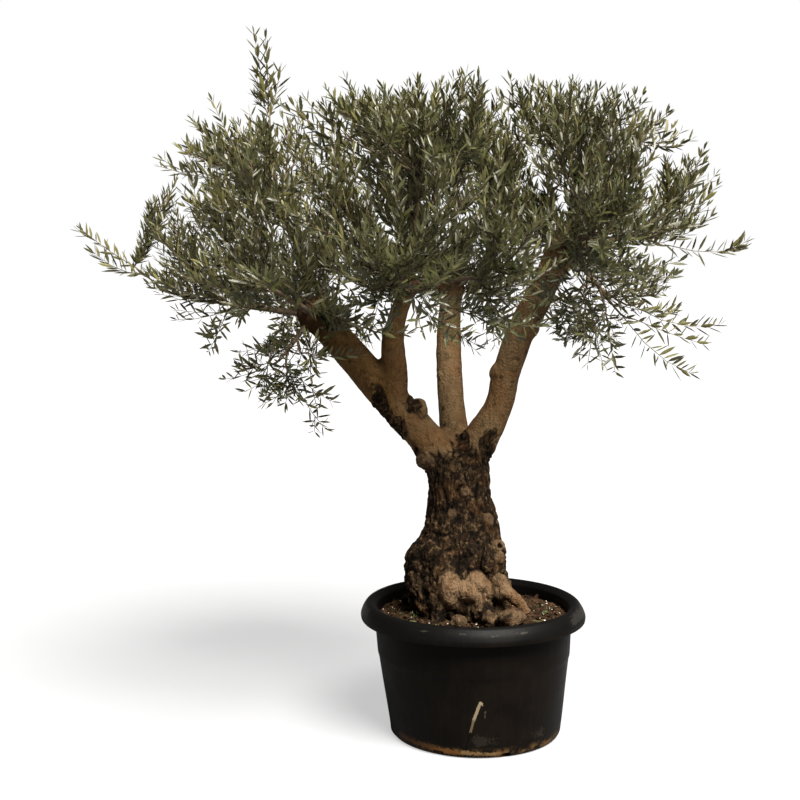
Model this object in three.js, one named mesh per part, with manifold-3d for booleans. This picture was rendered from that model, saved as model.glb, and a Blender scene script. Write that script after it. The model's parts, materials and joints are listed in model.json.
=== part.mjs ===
// A potted olive tree: a plastic nursery pot full of soil, a gnarled trunk that forks into four
// pollarded boughs, and a wide, flat-topped crown of foliage masses that spring from the boughs' heads.
// Millimetres, +Z up. The origin is the centre of the pot's flat underside; the tree's front faces -Y.
import * as THREE from "three";
import { mergeVertices } from "three/addons/utils/BufferGeometryUtils.js";
import Module from "manifold-3d";

const wasm = await Module();
wasm.setup();

// ---------------------------------------------------------------- driving dimensions

const CLEARANCE = 0.3; // kept between solids that meet
const SLIVER = 0.1; // edges shorter than this are closed up
const FULL_TURN = 2 * Math.PI;
const GOLDEN_ANGLE = Math.PI * (3 - Math.sqrt(5));

const POT = {
  sides: 32,
  height: 443,
  footRadius: 276, // of the flat underside
  baseRadius: 283, // of the wall, just above the foot
  baseHeight: 10,
  ledgeRadius: 314, // of the wall, just under the nesting ledge
  ledgeHeight: 366,
  ledgeStep: 5,
  collarRadius: 322, // of the wall, under the rim
  rimRadius: 370,
  rimWidth: 42, // flat across the top, from the outside to the lip
  rimDrop: 47, // how far the rim turns down outside
  rimRound: 16, // rounding of the rim's outer edges
  neckDrop: 13, // how far below the top the wall turns out into the rim
  wall: 5,
  floor: 10,
  drains: 8, // slots through the bottom edge
  drain: { depth: 24, width: 34, height: 16, sill: 2 },
};

const SOIL = { edgeHeight: 397, shoulder: [255, 400], crownHeight: 404, flatRadius: 215 };

const TRUNK = {
  foot: SOIL.crownHeight + CLEARANCE,
  sides: 22,
  // height, centre x, centre y, half-width along x, half-width along y
  rings: [
    [0, -47, -4, 148, 142],
    [70, -55, -6, 162, 150],
    [150, -56, -6, 165, 150],
    [215, -48, -4, 152, 138],
    [270, -36, 0, 127, 118],
    [325, -36, 2, 115, 106],
    [375, -42, 3, 104, 98],
    [440, -47, 4, 99, 95],
    [490, -57, 8, 108, 96],
    [535, -62, 14, 104, 82],
    [562, -60, 18, 58, 48],
  ],
  lobes: 5, // ridges that run down into the root flare
  lobeDepth: 0.055, // share of the radius, at the foot
};

// Swellings of old wood and cut stubs on the trunk: where they sit (degrees round from +X, height
// above the foot, distance of their middle from the trunk's middle) and their half-sizes
// (across, out from the trunk, and up).
const BURLS = [
  { turn: -86, height: 76, out: 118, half: [66, 44, 62] }, // the large smooth burl in front
  { turn: -104, height: 40, out: 130, half: [36, 34, 42] }, // its lower left lobe
  { turn: -66, height: 34, out: 128, half: [30, 32, 42] }, // its lower right lobe
  { turn: -160, height: 104, out: 132, half: [38, 34, 36] },
  { turn: -22, height: 190, out: 122, half: [38, 34, 50] },
  { turn: -42, height: 300, out: 92, half: [28, 26, 36] },
  { turn: -84, height: 400, out: 84, half: [20, 22, 22] },
  { turn: -150, height: 515, out: 110, half: [34, 34, 32] }, // stub of a bough cut off under the fork
  { turn: 175, height: 170, out: 118, half: [52, 50, 74] },
  { turn: 118, height: 90, out: 112, half: [60, 44, 66] },
  { turn: 62, height: 130, out: 106, half: [54, 42, 60] },
  { turn: 20, height: 66, out: 126, half: [50, 40, 58] },
];

// Roots that show above the soil: direction in degrees, from the height and out to the reach.
const ROOTS = [
  { turn: -34, height: 104, reach: 232, radius: 30 },
  { turn: -58, height: 60, reach: 236, radius: 34 },
  { turn: -112, height: 46, reach: 196, radius: 26 },
  { turn: 152, height: 70, reach: 214, radius: 30 },
  { turn: 62, height: 64, reach: 206, radius: 28 },
];

const ROOT = { start: 70, bend: 135, taper: [1.5, 1.15, 0.85, 0.5], sides: 8 };

// Each bough is one tapering limb along a smooth path of [x, y, z], with a radius at each point.
// Its first stretch, up to the joint, is part of what it grows from.
const BOUGHS = {
  left_bough: {
    path: [
      [-95, -2, 905],
      [-178, -12, 1012],
      [-290, -32, 1136],
      [-402, -86, 1276],
      [-508, -138, 1396],
    ],
    radii: [64, 57, 57, 53, 44],
    joint: 0.15,
    sides: 10,
  },
  centre_bough: {
    path: [
      [-52, 30, 900],
      [-70, 92, 1045],
      [-81, 146, 1160],
      [-86, 216, 1310],
      [-80, 286, 1462],
    ],
    radii: [54, 46, 45, 43, 36],
    joint: 0.2,
    sides: 9,
  },
  right_bough: {
    path: [
      [-24, 4, 905],
      [76, 10, 1078],
      [104, 18, 1190],
      [157, 20, 1347],
      [208, 10, 1444],
      [287, -8, 1616],
    ],
    radii: [66, 46, 46, 47, 47, 44],
    joint: 0.17,
    sides: 10,
  },
  upright_bough: {
    path: [
      [-262, -30, 1112],
      [-258, -70, 1228],
      [-258, -112, 1312],
      [-238, -160, 1400],
      [-200, -208, 1496],
    ],
    radii: [50, 44, 37, 29, 28],
    joint: 0,
    sides: 8,
    from: "left_bough",
  },
};
const HEAD = { swell: 1.16, top: 0.66, rise: 0.62 }; // a pollard head, in shares of its bough's radius and its own
const BOUGH_STEPS = 9; // straight stretches along a bough
const JOINT_STEPS = 40; // places along a bough where its joint may lie

// The crown's outline: a rounded block about its middle, flatter than a ball by the power.
const CROWN = {
  middle: [-145, 0, 1712],
  half: [865, 765], // along x and y
  rise: 340,
  drop: 330,
  power: 5.5,
  targets: 162, // twig ends spread over the outline
  upright: 1.75, // how far the spread favours the top and the underside
  inner: { every: 5, depth: 0.6 }, // one twig in so many stops at this share of the way out
  bareDisc: 0.5, // no twigs aim inside this share of the underside
};

// Foliage masses: the bough head that each springs from, and where it aims.
const MASSES = {
  foliage_left_outer: { bough: "left_bough", aim: [-1, -0.1, 0.12] },
  foliage_left_top: { bough: "left_bough", aim: [-0.3, 0.12, 1] },
  foliage_left_front: { bough: "left_bough", aim: [-0.3, -1, 0.3] },
  foliage_left_back: { bough: "left_bough", aim: [-0.45, 1, 0.35] },
  foliage_left_low: { bough: "left_bough", aim: [-0.6, -0.42, -0.85] },
  foliage_front_top: { bough: "upright_bough", aim: [0.1, -0.25, 1] },
  foliage_front_outer: { bough: "upright_bough", aim: [-0.1, -1, 0.05] },
  foliage_front_side: { bough: "upright_bough", aim: [1, -0.45, 0.1] },
  foliage_back_top: { bough: "centre_bough", aim: [0.05, 0.2, 1] },
  foliage_back_outer: { bough: "centre_bough", aim: [-0.25, 1, 0.15] },
  foliage_back_side: { bough: "centre_bough", aim: [-1, 0.25, 0.25] },
  foliage_right_outer: { bough: "right_bough", aim: [1, 0.1, 0.1] },
  foliage_right_top: { bough: "right_bough", aim: [0.2, 0, 1] },
  foliage_right_front: { bough: "right_bough", aim: [0.25, -1, 0.1] },
  foliage_right_back: { bough: "right_bough", aim: [0.25, 1, 0.15] },
  foliage_right_inner: { bough: "right_bough", aim: [-0.85, 0.35, 0.5] },
  foliage_right_low: { bough: "right_bough", aim: [0.75, -0.15, -0.9] },
};
const CELL_GAP = 4; // between two masses

// Shoots that fill the crown's heart, between the bough heads: a flat spiral of tips.
const HEART = { count: 9, middle: [-70, 90, 1830], reach: [330, 260], climb: 22 };

// Long shoots that stand out of the crown's outline, by the place of their tips.
const LONG_SHOOTS = [
  [-1325, -20, 1628],
  [-1060, -60, 1590],
  [-690, 20, 2300],
  [-950, 60, 2030],
  [-800, -140, 1150],
  [-575, -190, 1076],
  [-700, -330, 1200],
  [-880, -60, 1290],
  [-420, -330, 1180],
  [-100, 40, 2160],
  [815, 0, 1548],
  [792, 60, 1370],
  [700, -60, 1210],
  [470, -120, 1215],
  [600, 40, 1290],
  [772, 60, 1700],
];

const STEM = { radius: 12, tip: 6.5, share: 0.6, least: 150, sides: 5, sprays: 2 };
const TWIG = { radius: 4.6, tip: 2.4, sides: 3, segments: 2, sag: 0.1, hug: 0.4, clearOfTip: 170 };
const SPRAY = { length: 265, width: 122, thickness: 7, widest: 0.5, spacing: 75, apart: 104, lean: 0.7, lift: 0.2 };
const SLIM = 0.55; // width of the sprays on a long shoot, as a share of the others'
const BARE_SHARE = 0.25; // the inner part of a twig, without sprays
const LIMB_GAP = 9; // between a limb and the foliage round it

// ---------------------------------------------------------------- small tools

const vec = (p) => new THREE.Vector3(...p);

/** A seeded source of numbers from 0 to 1. */
function seeded(seed) {
  let state = seed >>> 0;
  return () => {
    state = (state + 0x6d2b79f5) >>> 0;
    let t = Math.imul(state ^ (state >>> 15), state | 1);
    t ^= t + Math.imul(t ^ (t >>> 7), t | 61);
    return ((t ^ (t >>> 14)) >>> 0) / 4294967296;
  };
}

/** A solid for joining and cutting, from a closed geometry. */
function solidOf(geometry) {
  const bare = geometry.index ? geometry.toNonIndexed() : geometry.clone();
  bare.deleteAttribute("normal");
  bare.deleteAttribute("uv");
  const merged = mergeVertices(bare, 1e-3);
  return new wasm.Manifold(
    new wasm.Mesh({
      numProp: 3,
      vertProperties: new Float32Array(merged.attributes.position.array),
      triVerts: new Uint32Array(merged.index.array),
    }),
  );
}

/** The largest body of a solid as a geometry; loose scraps and slivers are dropped. */
function geometryOf(solid) {
  const bodies = solid
    .simplify(SLIVER)
    .decompose()
    .sort((a, b) => b.volume() - a.volume());
  const mesh = bodies[0].getMesh();
  const positions = new Float32Array(mesh.numVert * 3);
  for (let i = 0; i < mesh.numVert; i++) {
    positions.set(mesh.vertProperties.subarray(i * mesh.numProp, i * mesh.numProp + 3), i * 3);
  }
  const geometry = new THREE.BufferGeometry();
  geometry.setAttribute("position", new THREE.BufferAttribute(positions, 3));
  geometry.setIndex(new THREE.BufferAttribute(mesh.triVerts, 1));
  geometry.computeVertexNormals();
  return geometry;
}

/** A closed geometry over rings of points, all of one count, with a flat cap at each end. */
function skin(rings) {
  const sides = rings[0].length;
  const points = rings.flat();
  const index = [];
  for (let i = 0; i + 1 < rings.length; i++) {
    for (let j = 0; j < sides; j++) {
      const a = i * sides + j;
      const b = i * sides + ((j + 1) % sides);
      index.push(a, b, b + sides, a, b + sides, a + sides);
    }
  }
  const last = (rings.length - 1) * sides;
  for (let j = 1; j + 1 < sides; j++) {
    index.push(0, j + 1, j);
    index.push(last, last + j, last + j + 1);
  }
  const geometry = new THREE.BufferGeometry().setFromPoints(points);
  geometry.setIndex(index);
  return geometry;
}

/** A tapering round limb along points, each with its own radius. */
function limb(points, radii, sides) {
  const count = points.length;
  let across = new THREE.Vector3(1, 0, 0);
  const rings = points.map((point, i) => {
    const ahead = points[Math.min(i + 1, count - 1)].clone();
    const tangent = ahead.sub(points[Math.max(i - 1, 0)]).normalize();
    if (Math.abs(across.dot(tangent)) > 0.9) across = new THREE.Vector3(0, 1, 0);
    across.addScaledVector(tangent, -across.dot(tangent)).normalize();
    const up = tangent.clone().cross(across);
    return Array.from({ length: sides }, (_, j) => {
      const turn = (j / sides) * FULL_TURN;
      return point
        .clone()
        .addScaledVector(across, Math.cos(turn) * radii[i])
        .addScaledVector(up, Math.sin(turn) * radii[i]);
    });
  });
  return skin(rings);
}

// ---------------------------------------------------------------- pot and soil

/** The pot's inner wall, as [radius, height] from the floor up to the lip. */
function innerWall() {
  const { baseRadius, ledgeRadius, collarRadius, ledgeHeight, ledgeStep, wall, floor } = POT;
  return [
    [baseRadius - wall - 3, floor],
    [ledgeRadius - wall, ledgeHeight - ledgeStep],
    [collarRadius - wall - 2, ledgeHeight + ledgeStep],
  ];
}

const turned = (profile) => {
  const geometry = new THREE.LatheGeometry(
    profile.map(([r, z]) => new THREE.Vector2(r, z)),
    POT.sides,
  );
  return geometry.rotateX(Math.PI / 2);
};

function potGeometry() {
  const { height, footRadius, baseRadius, baseHeight, ledgeRadius, ledgeHeight, ledgeStep } = POT;
  const { collarRadius, rimRadius, rimWidth, rimDrop, rimRound, neckDrop, wall, floor, drains, drain } = POT;
  const skirt = height - rimDrop;
  const lip = rimRadius - rimWidth;
  const outside = [
    [0, 0],
    [footRadius, 0],
    [baseRadius, baseHeight],
    [ledgeRadius, ledgeHeight - ledgeStep],
    [ledgeRadius + ledgeStep, ledgeHeight],
    [collarRadius, height - neckDrop - wall - 1],
  ];
  const underRim = [
    [lip + rimRound, height - wall - 3],
    [rimRadius - wall, skirt + 1.3 * rimRound],
    [rimRadius - wall - 3, skirt],
  ];
  const rim = [
    [rimRadius - 3, skirt],
    [rimRadius, skirt + rimRound],
    [rimRadius - 0.4 * rimRound, height - 0.9 * rimRound],
    [rimRadius - 1.25 * rimRound, height - 2],
    [lip + 0.75 * rimRound, height],
    [lip, height - wall + 1],
  ];
  const neck = [collarRadius - wall, height - neckDrop];
  const inside = [neck, ...innerWall().reverse(), [0, floor]];
  let pot = solidOf(turned([...outside, ...underRim, ...rim, ...inside]));
  for (let i = 0; i < drains; i++) {
    const slot = new THREE.BoxGeometry(drain.depth, drain.width, drain.height);
    slot.translate(footRadius, 0, drain.height / 2 + drain.sill);
    slot.rotateZ(((i + 0.5) / drains) * FULL_TURN);
    pot = pot.subtract(solidOf(slot));
  }
  return geometryOf(pot);
}

/** The soil: it fills the pot to just under the lip and mounds a little towards the trunk. */
function soilGeometry() {
  const { edgeHeight, shoulder, crownHeight, flatRadius } = SOIL;
  const wall = innerWall().map(([r, z]) => [r - 1.4 * CLEARANCE, z]);
  wall[0][1] += CLEARANCE;
  const floor = [0, wall[0][1]];
  const edge = [wall.at(-1)[0], edgeHeight];
  return turned([floor, ...wall, edge, shoulder, [flatRadius, crownHeight], [0, crownHeight]]);
}

// ---------------------------------------------------------------- trunk and boughs

/** Points along a smooth path through a bough's points, with the radius at each. */
function boughLine(bough, steps = BOUGH_STEPS) {
  const curve = new THREE.CatmullRomCurve3(bough.path.map(vec), false, "catmullrom", 0.5);
  const spans = bough.path.length - 1;
  const line = { points: [], radii: [] };
  for (let i = 0; i <= steps; i++) {
    const t = i / steps;
    const k = Math.min(Math.floor(t * spans), spans - 1);
    line.points.push(curve.getPoint(t));
    line.radii.push(THREE.MathUtils.lerp(bough.radii[k], bough.radii[k + 1], t * spans - k));
  }
  return line;
}

/** The point, direction and radius of a bough where it joins what it grows from. */
function jointOf(bough) {
  const { points, radii } = boughLine(bough, JOINT_STEPS);
  const i = Math.round(bough.joint * JOINT_STEPS);
  const along = points[i + 1].clone().sub(points[i]).normalize();
  return { point: points[i], along, radius: radii[i] };
}

/** A bough from its joint to its pollard head, grown by an allowance all round. */
function boughGeometry(bough, allowance = 0) {
  const { points, radii } = boughLine(bough);
  const joint = jointOf(bough);
  const first = points.findIndex((_, i) => i / BOUGH_STEPS > bough.joint + 0.4 / BOUGH_STEPS);
  const gap = bough.joint && !allowance ? CLEARANCE : 0;
  const line = [joint.point.clone().addScaledVector(joint.along, gap), ...points.slice(first)];
  const widths = [joint.radius, ...radii.slice(first)];
  const tip = line.at(-1);
  const along = tip.clone().sub(line.at(-2)).normalize();
  const head = widths.at(-1) * HEAD.swell;
  widths[widths.length - 1] = head;
  line.push(tip.clone().addScaledVector(along, head * HEAD.rise + allowance));
  widths.push(head * HEAD.top);
  return limb(
    line,
    widths.map((r) => r + allowance),
    bough.sides,
  );
}

/** The stretch of a bough that belongs to the trunk, which ends in the flat face of the joint. */
function stubGeometry(bough) {
  const joint = jointOf(bough);
  const start = vec(bough.path[0]);
  const middle = start.clone().lerp(joint.point, 0.5);
  const collar = joint.point.clone().addScaledVector(joint.along, -0.2 * joint.radius);
  const radii = [bough.radii[0], (bough.radii[0] + joint.radius) / 2, joint.radius, joint.radius];
  return limb([start, middle, collar, joint.point], radii, bough.sides);
}

/** An ellipsoid with half-sizes across, out and up, turned to stand out from the trunk. */
function burlSolid({ turn, height, out, half }, middle) {
  const lump = new THREE.IcosahedronGeometry(1, 1);
  lump.scale(half[1], half[0], half[2]);
  lump.translate(out, 0, 0);
  lump.rotateZ(THREE.MathUtils.degToRad(turn));
  lump.translate(middle.x, middle.y, TRUNK.foot + height);
  return solidOf(lump);
}

/** A root that leaves the flare and dives into the soil. */
function rootSolid({ turn, height, reach, radius }, middle) {
  const angle = THREE.MathUtils.degToRad(turn);
  const out = (r, z) =>
    new THREE.Vector3(middle.x + Math.cos(angle) * r, middle.y + Math.sin(angle) * r, TRUNK.foot + z);
  const points = [out(ROOT.start, height + 20), out(ROOT.bend, height), out(reach * 0.82, radius / 2), out(reach, -radius)];
  return solidOf(limb(points, ROOT.taper.map((share) => share * radius), ROOT.sides));
}

/** The trunk's middle at a height above its foot. */
function trunkMiddle(height) {
  const { rings } = TRUNK;
  const i = Math.min(Math.max(rings.findIndex((ring) => ring[0] > height) - 1, 0), rings.length - 2);
  const share = THREE.MathUtils.clamp((height - rings[i][0]) / (rings[i + 1][0] - rings[i][0]), 0, 1);
  return {
    x: THREE.MathUtils.lerp(rings[i][1], rings[i + 1][1], share),
    y: THREE.MathUtils.lerp(rings[i][2], rings[i + 1][2], share),
  };
}

function trunkGeometry() {
  const { rings, sides, lobes, lobeDepth, foot } = TRUNK;
  const top = rings.at(-1)[0];
  const shaft = rings.map(([height, x, y, halfX, halfY]) =>
    Array.from({ length: sides }, (_, j) => {
      const turn = (j / sides) * FULL_TURN;
      const fade = 1 - height / top;
      const swell = 1 + lobeDepth * fade * Math.cos(lobes * turn + height / 90);
      return new THREE.Vector3(
        x + Math.cos(turn) * halfX * swell,
        y + Math.sin(turn) * halfY * swell,
        foot + height,
      );
    }),
  );
  let trunk = solidOf(skin(shaft));
  for (const bough of Object.values(BOUGHS)) {
    if (bough.joint) trunk = trunk.add(solidOf(stubGeometry(bough)));
  }
  for (const burl of BURLS) trunk = trunk.add(burlSolid(burl, trunkMiddle(burl.height)));
  for (const root of ROOTS) trunk = trunk.add(rootSolid(root, trunkMiddle(root.height)));
  for (const bough of Object.values(BOUGHS)) trunk = trunk.subtract(solidOf(boughGeometry(bough, CLEARANCE)));
  const ground = new THREE.BoxGeometry(1000, 1000, 200);
  ground.translate(0, 0, foot - 100); // cuts the foot flat
  return geometryOf(trunk.subtract(solidOf(ground)));
}

// ---------------------------------------------------------------- crown

const HEADS = Object.fromEntries(Object.entries(BOUGHS).map(([name, bough]) => [name, vec(bough.path.at(-1))]));
const AIMS = Object.fromEntries(Object.entries(MASSES).map(([name, mass]) => [name, vec(mass.aim).normalize()]));

/** The planes round a mass's own space, each a point and an inward direction. */
function cellPlanes(name) {
  const { bough } = MASSES[name];
  const head = HEADS[bough];
  const planes = [];
  for (const [other, point] of Object.entries(HEADS)) {
    if (other === bough) continue;
    planes.push({ point: head.clone().lerp(point, 0.5), inward: head.clone().sub(point).normalize() });
  }
  for (const [sibling, mass] of Object.entries(MASSES)) {
    if (sibling === name || mass.bough !== bough) continue;
    planes.push({ point: head, inward: AIMS[name].clone().sub(AIMS[sibling]).normalize() });
  }
  return planes;
}

const CELLS = Object.fromEntries(Object.keys(MASSES).map((name) => [name, cellPlanes(name)]));

const depthInCell = (name, point) =>
  Math.min(...CELLS[name].map(({ point: on, inward }) => point.clone().sub(on).dot(inward)));

const massAt = (point) => Object.keys(MASSES).find((name) => depthInCell(name, point) >= 0);

const LIMB_LINES = Object.values(BOUGHS).map((bough) => boughLine(bough));

/** The gap between a point and the nearest bough or the trunk's top. */
function gapToLimbs(point) {
  let least = Infinity;
  const nearest = new THREE.Vector3();
  for (const { points, radii } of LIMB_LINES) {
    for (let i = 0; i + 1 < points.length; i++) {
      new THREE.Line3(points[i], points[i + 1]).closestPointToPoint(point, true, nearest);
      const radius = Math.max(radii[i], radii[i + 1]) * (i + 2 === points.length ? HEAD.swell : 1);
      least = Math.min(least, nearest.distanceTo(point) - radius);
    }
  }
  return least;
}

const isFree = (name, points) =>
  points.every((point) => depthInCell(name, point) > CELL_GAP / 2 && gapToLimbs(point) > LIMB_GAP);

/** The places that twigs grow to: spread over the crown's outline, in its heart, then the long shoots. */
function twigTargets() {
  const { middle, half, rise, drop, power, targets, upright, inner, bareDisc } = CROWN;
  const random = seeded(49);
  const found = [];
  for (let k = 0; k < targets; k++) {
    const even = 1 - (2 * (k + 0.5)) / targets;
    const slant = Math.hypot(Math.sqrt(1 - even * even), even * upright);
    const z = (even * upright) / slant;
    const across = Math.sqrt(1 - z * z);
    const turn = k * GOLDEN_ANGLE;
    const square = (across ** power + Math.abs(z) ** power) ** (-1 / power);
    const depth = k % inner.every ? 0.88 + 0.14 * random() : inner.depth;
    if (z < 0 && across * square < bareDisc) continue;
    const point = new THREE.Vector3(
      middle[0] + half[0] * across * Math.cos(turn) * square * depth,
      middle[1] + half[1] * across * Math.sin(turn) * square * depth,
      middle[2] + (z > 0 ? rise : drop) * z * square * depth,
    );
    found.push({ point, slim: 1 });
  }
  for (let k = 0; k < HEART.count; k++) {
    const out = Math.sqrt((k + 0.5) / HEART.count);
    const point = vec(HEART.middle);
    point.x += HEART.reach[0] * out * Math.cos(k * GOLDEN_ANGLE);
    point.y += HEART.reach[1] * out * Math.sin(k * GOLDEN_ANGLE);
    point.z += HEART.climb * k;
    found.push({ point, slim: 1 });
  }
  return [...found, ...LONG_SHOOTS.map((tip) => ({ point: vec(tip), slim: SLIM }))];
}

/** How far a mass's stem runs: a share of the way to the crown's outline. */
function stemLength(name) {
  const head = HEADS[MASSES[name].bough];
  const { middle, half, rise, drop, power } = CROWN;
  for (let reach = 60; reach < 1500; reach += 10) {
    const p = head.clone().addScaledVector(AIMS[name], reach);
    const across = Math.hypot((p.x - middle[0]) / half[0], (p.y - middle[1]) / half[1]);
    const up = Math.abs(p.z - middle[2]) / (p.z > middle[2] ? rise : drop);
    if (across ** power + up ** power > 1 || depthInCell(name, p) < CELL_GAP) return Math.max(reach * STEM.share, STEM.least);
  }
  return STEM.least;
}

/** The line of a twig from a share of the stem towards its target, sagging below the straight way. */
function twigLine(head, stem, share, { point: target, slim }, sag) {
  const start = head.clone().addScaledVector(stem, share);
  const reach = target.distanceTo(start);
  const tipLeft = slim < 1 ? 0.95 * SPRAY.length : TWIG.clearOfTip;
  const end = start.clone().lerp(target, Math.max(0.3, 1 - tipLeft / reach));
  const control = start.clone().lerp(end, 0.5);
  control.addScaledVector(stem, (0.1 * reach) / stem.length());
  control.z -= reach * sag;
  const curve = new THREE.QuadraticBezierCurve3(start, control, end);
  return Array.from({ length: TWIG.segments + 1 }, (_, i) => curve.getPoint(i / TWIG.segments));
}

/** The first twig line to a target that keeps clear of the limbs and of the other masses. */
function clearTwigLine(name, head, stem, target) {
  const offset = target.point.clone().sub(head);
  const out = offset.dot(AIMS[name]);
  const aside = offset.clone().addScaledVector(AIMS[name], -out).length();
  const share = THREE.MathUtils.clamp((out - aside * TWIG.hug) / stem.length(), 0.34, 0.98);
  for (const sag of [TWIG.sag, 0, -TWIG.sag]) {
    for (const shift of [0, -0.2, 0.2, 0.4]) {
      const from = THREE.MathUtils.clamp(share + shift, 0.25, 0.98);
      const line = twigLine(head, stem, from, target, sag);
      if (isFree(name, line.slice(1))) return line;
    }
  }
  return null;
}

/** The five corners of a spray: a flat pointed blade with a keel along its back. */
function sprayCorners(root, along, flat, scale, slim = 1) {
  const side = flat.clone().cross(along).normalize();
  const { length, thickness, widest } = SPRAY;
  const width = SPRAY.width * slim;
  const waist = root.clone().addScaledVector(along, length * widest * scale);
  return [
    root.clone(),
    root.clone().addScaledVector(along, length * scale),
    waist.clone().addScaledVector(side, (width / 2) * scale),
    waist.clone().addScaledVector(side, (-width / 2) * scale),
    waist.clone().addScaledVector(flat, thickness),
  ];
}

function sprayGeometry(corners) {
  const geometry = new THREE.BufferGeometry().setFromPoints(corners);
  geometry.setIndex([0, 4, 2, 0, 2, 3, 0, 3, 4, 1, 2, 4, 1, 3, 2, 1, 4, 3]);
  return geometry;
}

/** A spray that leaves a twig to one side, leaning forward and lifting towards the light. */
function sideSpray(root, tangent, turn, tilt, scale, slim = 1) {
  const across = new THREE.Vector3(-tangent.y, tangent.x, 0).normalize();
  const up = tangent.clone().cross(across);
  const side = across.multiplyScalar(Math.cos(turn)).addScaledVector(up, Math.sin(turn));
  const along = tangent.clone().addScaledVector(side, SPRAY.lean);
  along.z += SPRAY.lift;
  along.normalize();
  const flat = side.clone().addScaledVector(along.clone().cross(side), tilt);
  flat.addScaledVector(along, -flat.dot(along)).normalize();
  return sprayCorners(root, along, flat, scale, slim);
}

/** Sprays along a line, each turned on round it until it is clear of the others in its mass. */
function spraysAlong(name, line, count, random, waists, slim) {
  const curve = new THREE.CatmullRomCurve3(line, false, "catmullrom", 0.5);
  const found = [];
  for (let k = 0; k < count; k++) {
    const t = BARE_SHARE + (1 - BARE_SHARE) * ((k + 0.4) / count);
    const turn = k * GOLDEN_ANGLE + random() * FULL_TURN * 0.15;
    const tilt = 2 * random() - 1;
    const scale = 0.8 + 0.3 * random();
    for (const extra of [0, 0.25, 0.5, 0.75, 1, 1.25, 1.5, 1.75]) {
      const size = extra < 1 ? scale : scale * 0.65;
      const spray = sideSpray(curve.getPoint(t), curve.getTangent(t), turn + extra * FULL_TURN, tilt, size, slim);
      if (!isFree(name, spray) || waists.some((waist) => waist.distanceTo(spray[4]) < SPRAY.apart)) continue;
      waists.push(spray[4]);
      found.push(spray);
      break;
    }
  }
  return found;
}

/** The sprays on a twig: along it, and one at its tip. */
function spraysOn(name, line, random, waists, slim) {
  const [before, tip] = line.slice(-2);
  const reach = line[0].distanceTo(tip);
  const count = Math.max(1, Math.round((reach * (1 - BARE_SHARE)) / SPRAY.spacing));
  const found = spraysAlong(name, line, count, random, waists, slim);
  const along = tip.clone().sub(before).normalize();
  const flat = new THREE.Vector3(0, -0.8, 1);
  flat.addScaledVector(along, -flat.dot(along)).normalize();
  const last = sprayCorners(before.clone().lerp(tip, 0.97), along, flat, 1, slim);
  if (isFree(name, last)) found.push(last);
  return found;
}

/** One foliage mass: a stem, twigs from the stem to their targets, and sprays on the twigs. */
function massGeometry(name, order, targets) {
  const random = seeded(443 + order);
  const head = HEADS[MASSES[name].bough];
  const stem = AIMS[name].clone().multiplyScalar(stemLength(name));
  const stemLine = [0, 0.5, 1].map((share) => head.clone().addScaledVector(stem, share));
  const solids = [solidOf(limb(stemLine, [STEM.radius, STEM.radius, STEM.tip], STEM.sides))];
  const waists = [];
  for (const target of targets) {
    const draws = seeded(Math.floor(random() * 1e9));
    const line = clearTwigLine(name, head, stem, target);
    if (!line) continue;
    const radii = line.map((_, i) => THREE.MathUtils.lerp(TWIG.radius, TWIG.tip, i / TWIG.segments));
    solids.push(solidOf(limb(line, radii, TWIG.sides)));
    for (const corners of spraysOn(name, line, draws, waists, target.slim)) solids.push(solidOf(sprayGeometry(corners)));
  }
  for (const corners of spraysAlong(name, stemLine, STEM.sprays, random, waists, 1)) {
    solids.push(solidOf(sprayGeometry(corners)));
  }
  const bough = solidOf(boughGeometry(BOUGHS[MASSES[name].bough], CLEARANCE));
  return geometryOf(wasm.Manifold.union(solids).subtract(bough));
}

// ---------------------------------------------------------------- the scene graph

const FINISHES = {
  pot: { color: 0x23211e, roughness: 0.55 },
  soil: { color: 0x3a2a1e, roughness: 1 },
  trunk: { color: 0x4d3b2a, roughness: 0.95 },
  bough: { color: 0x7d6548, roughness: 0.85 },
  foliage: { color: 0x6b6e48, roughness: 0.7 },
};

const tree = new THREE.Group();

function place(name, geometry, finish) {
  const material = new THREE.MeshStandardMaterial({ ...FINISHES[finish], metalness: 0 });
  const mesh = new THREE.Mesh(geometry, material);
  mesh.name = name;
  tree.add(mesh);
}

place("pot", potGeometry(), "pot");
place("soil", soilGeometry(), "soil");
place("trunk", trunkGeometry(), "trunk");
for (const [name, bough] of Object.entries(BOUGHS)) {
  let geometry = boughGeometry(bough);
  if (bough.from) {
    const parent = solidOf(boughGeometry(BOUGHS[bough.from], CLEARANCE));
    geometry = geometryOf(solidOf(geometry).subtract(parent));
  }
  place(name, geometry, "bough");
}

const byMass = Map.groupBy(twigTargets(), ({ point }) => massAt(point));
Object.keys(MASSES).forEach((name, order) => {
  place(name, massGeometry(name, order, byMass.get(name) ?? []), "foliage");
});

export default tree;
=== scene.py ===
"""A potted olive tree: a weathered nursery pot of soil, a gnarled pollarded trunk and a wide crown.

Sizes in this file are millimetres in the part's own frame: +Z up, the origin in the middle of the pot's
underside, the tree's front towards -Y. Meshes are scaled to metres as they are made.
"""

import json
import logging
import math
from collections.abc import Callable, Sequence
from dataclasses import dataclass, field
from enum import Enum

import bpy
import numpy as np
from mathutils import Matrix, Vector, noise

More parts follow.
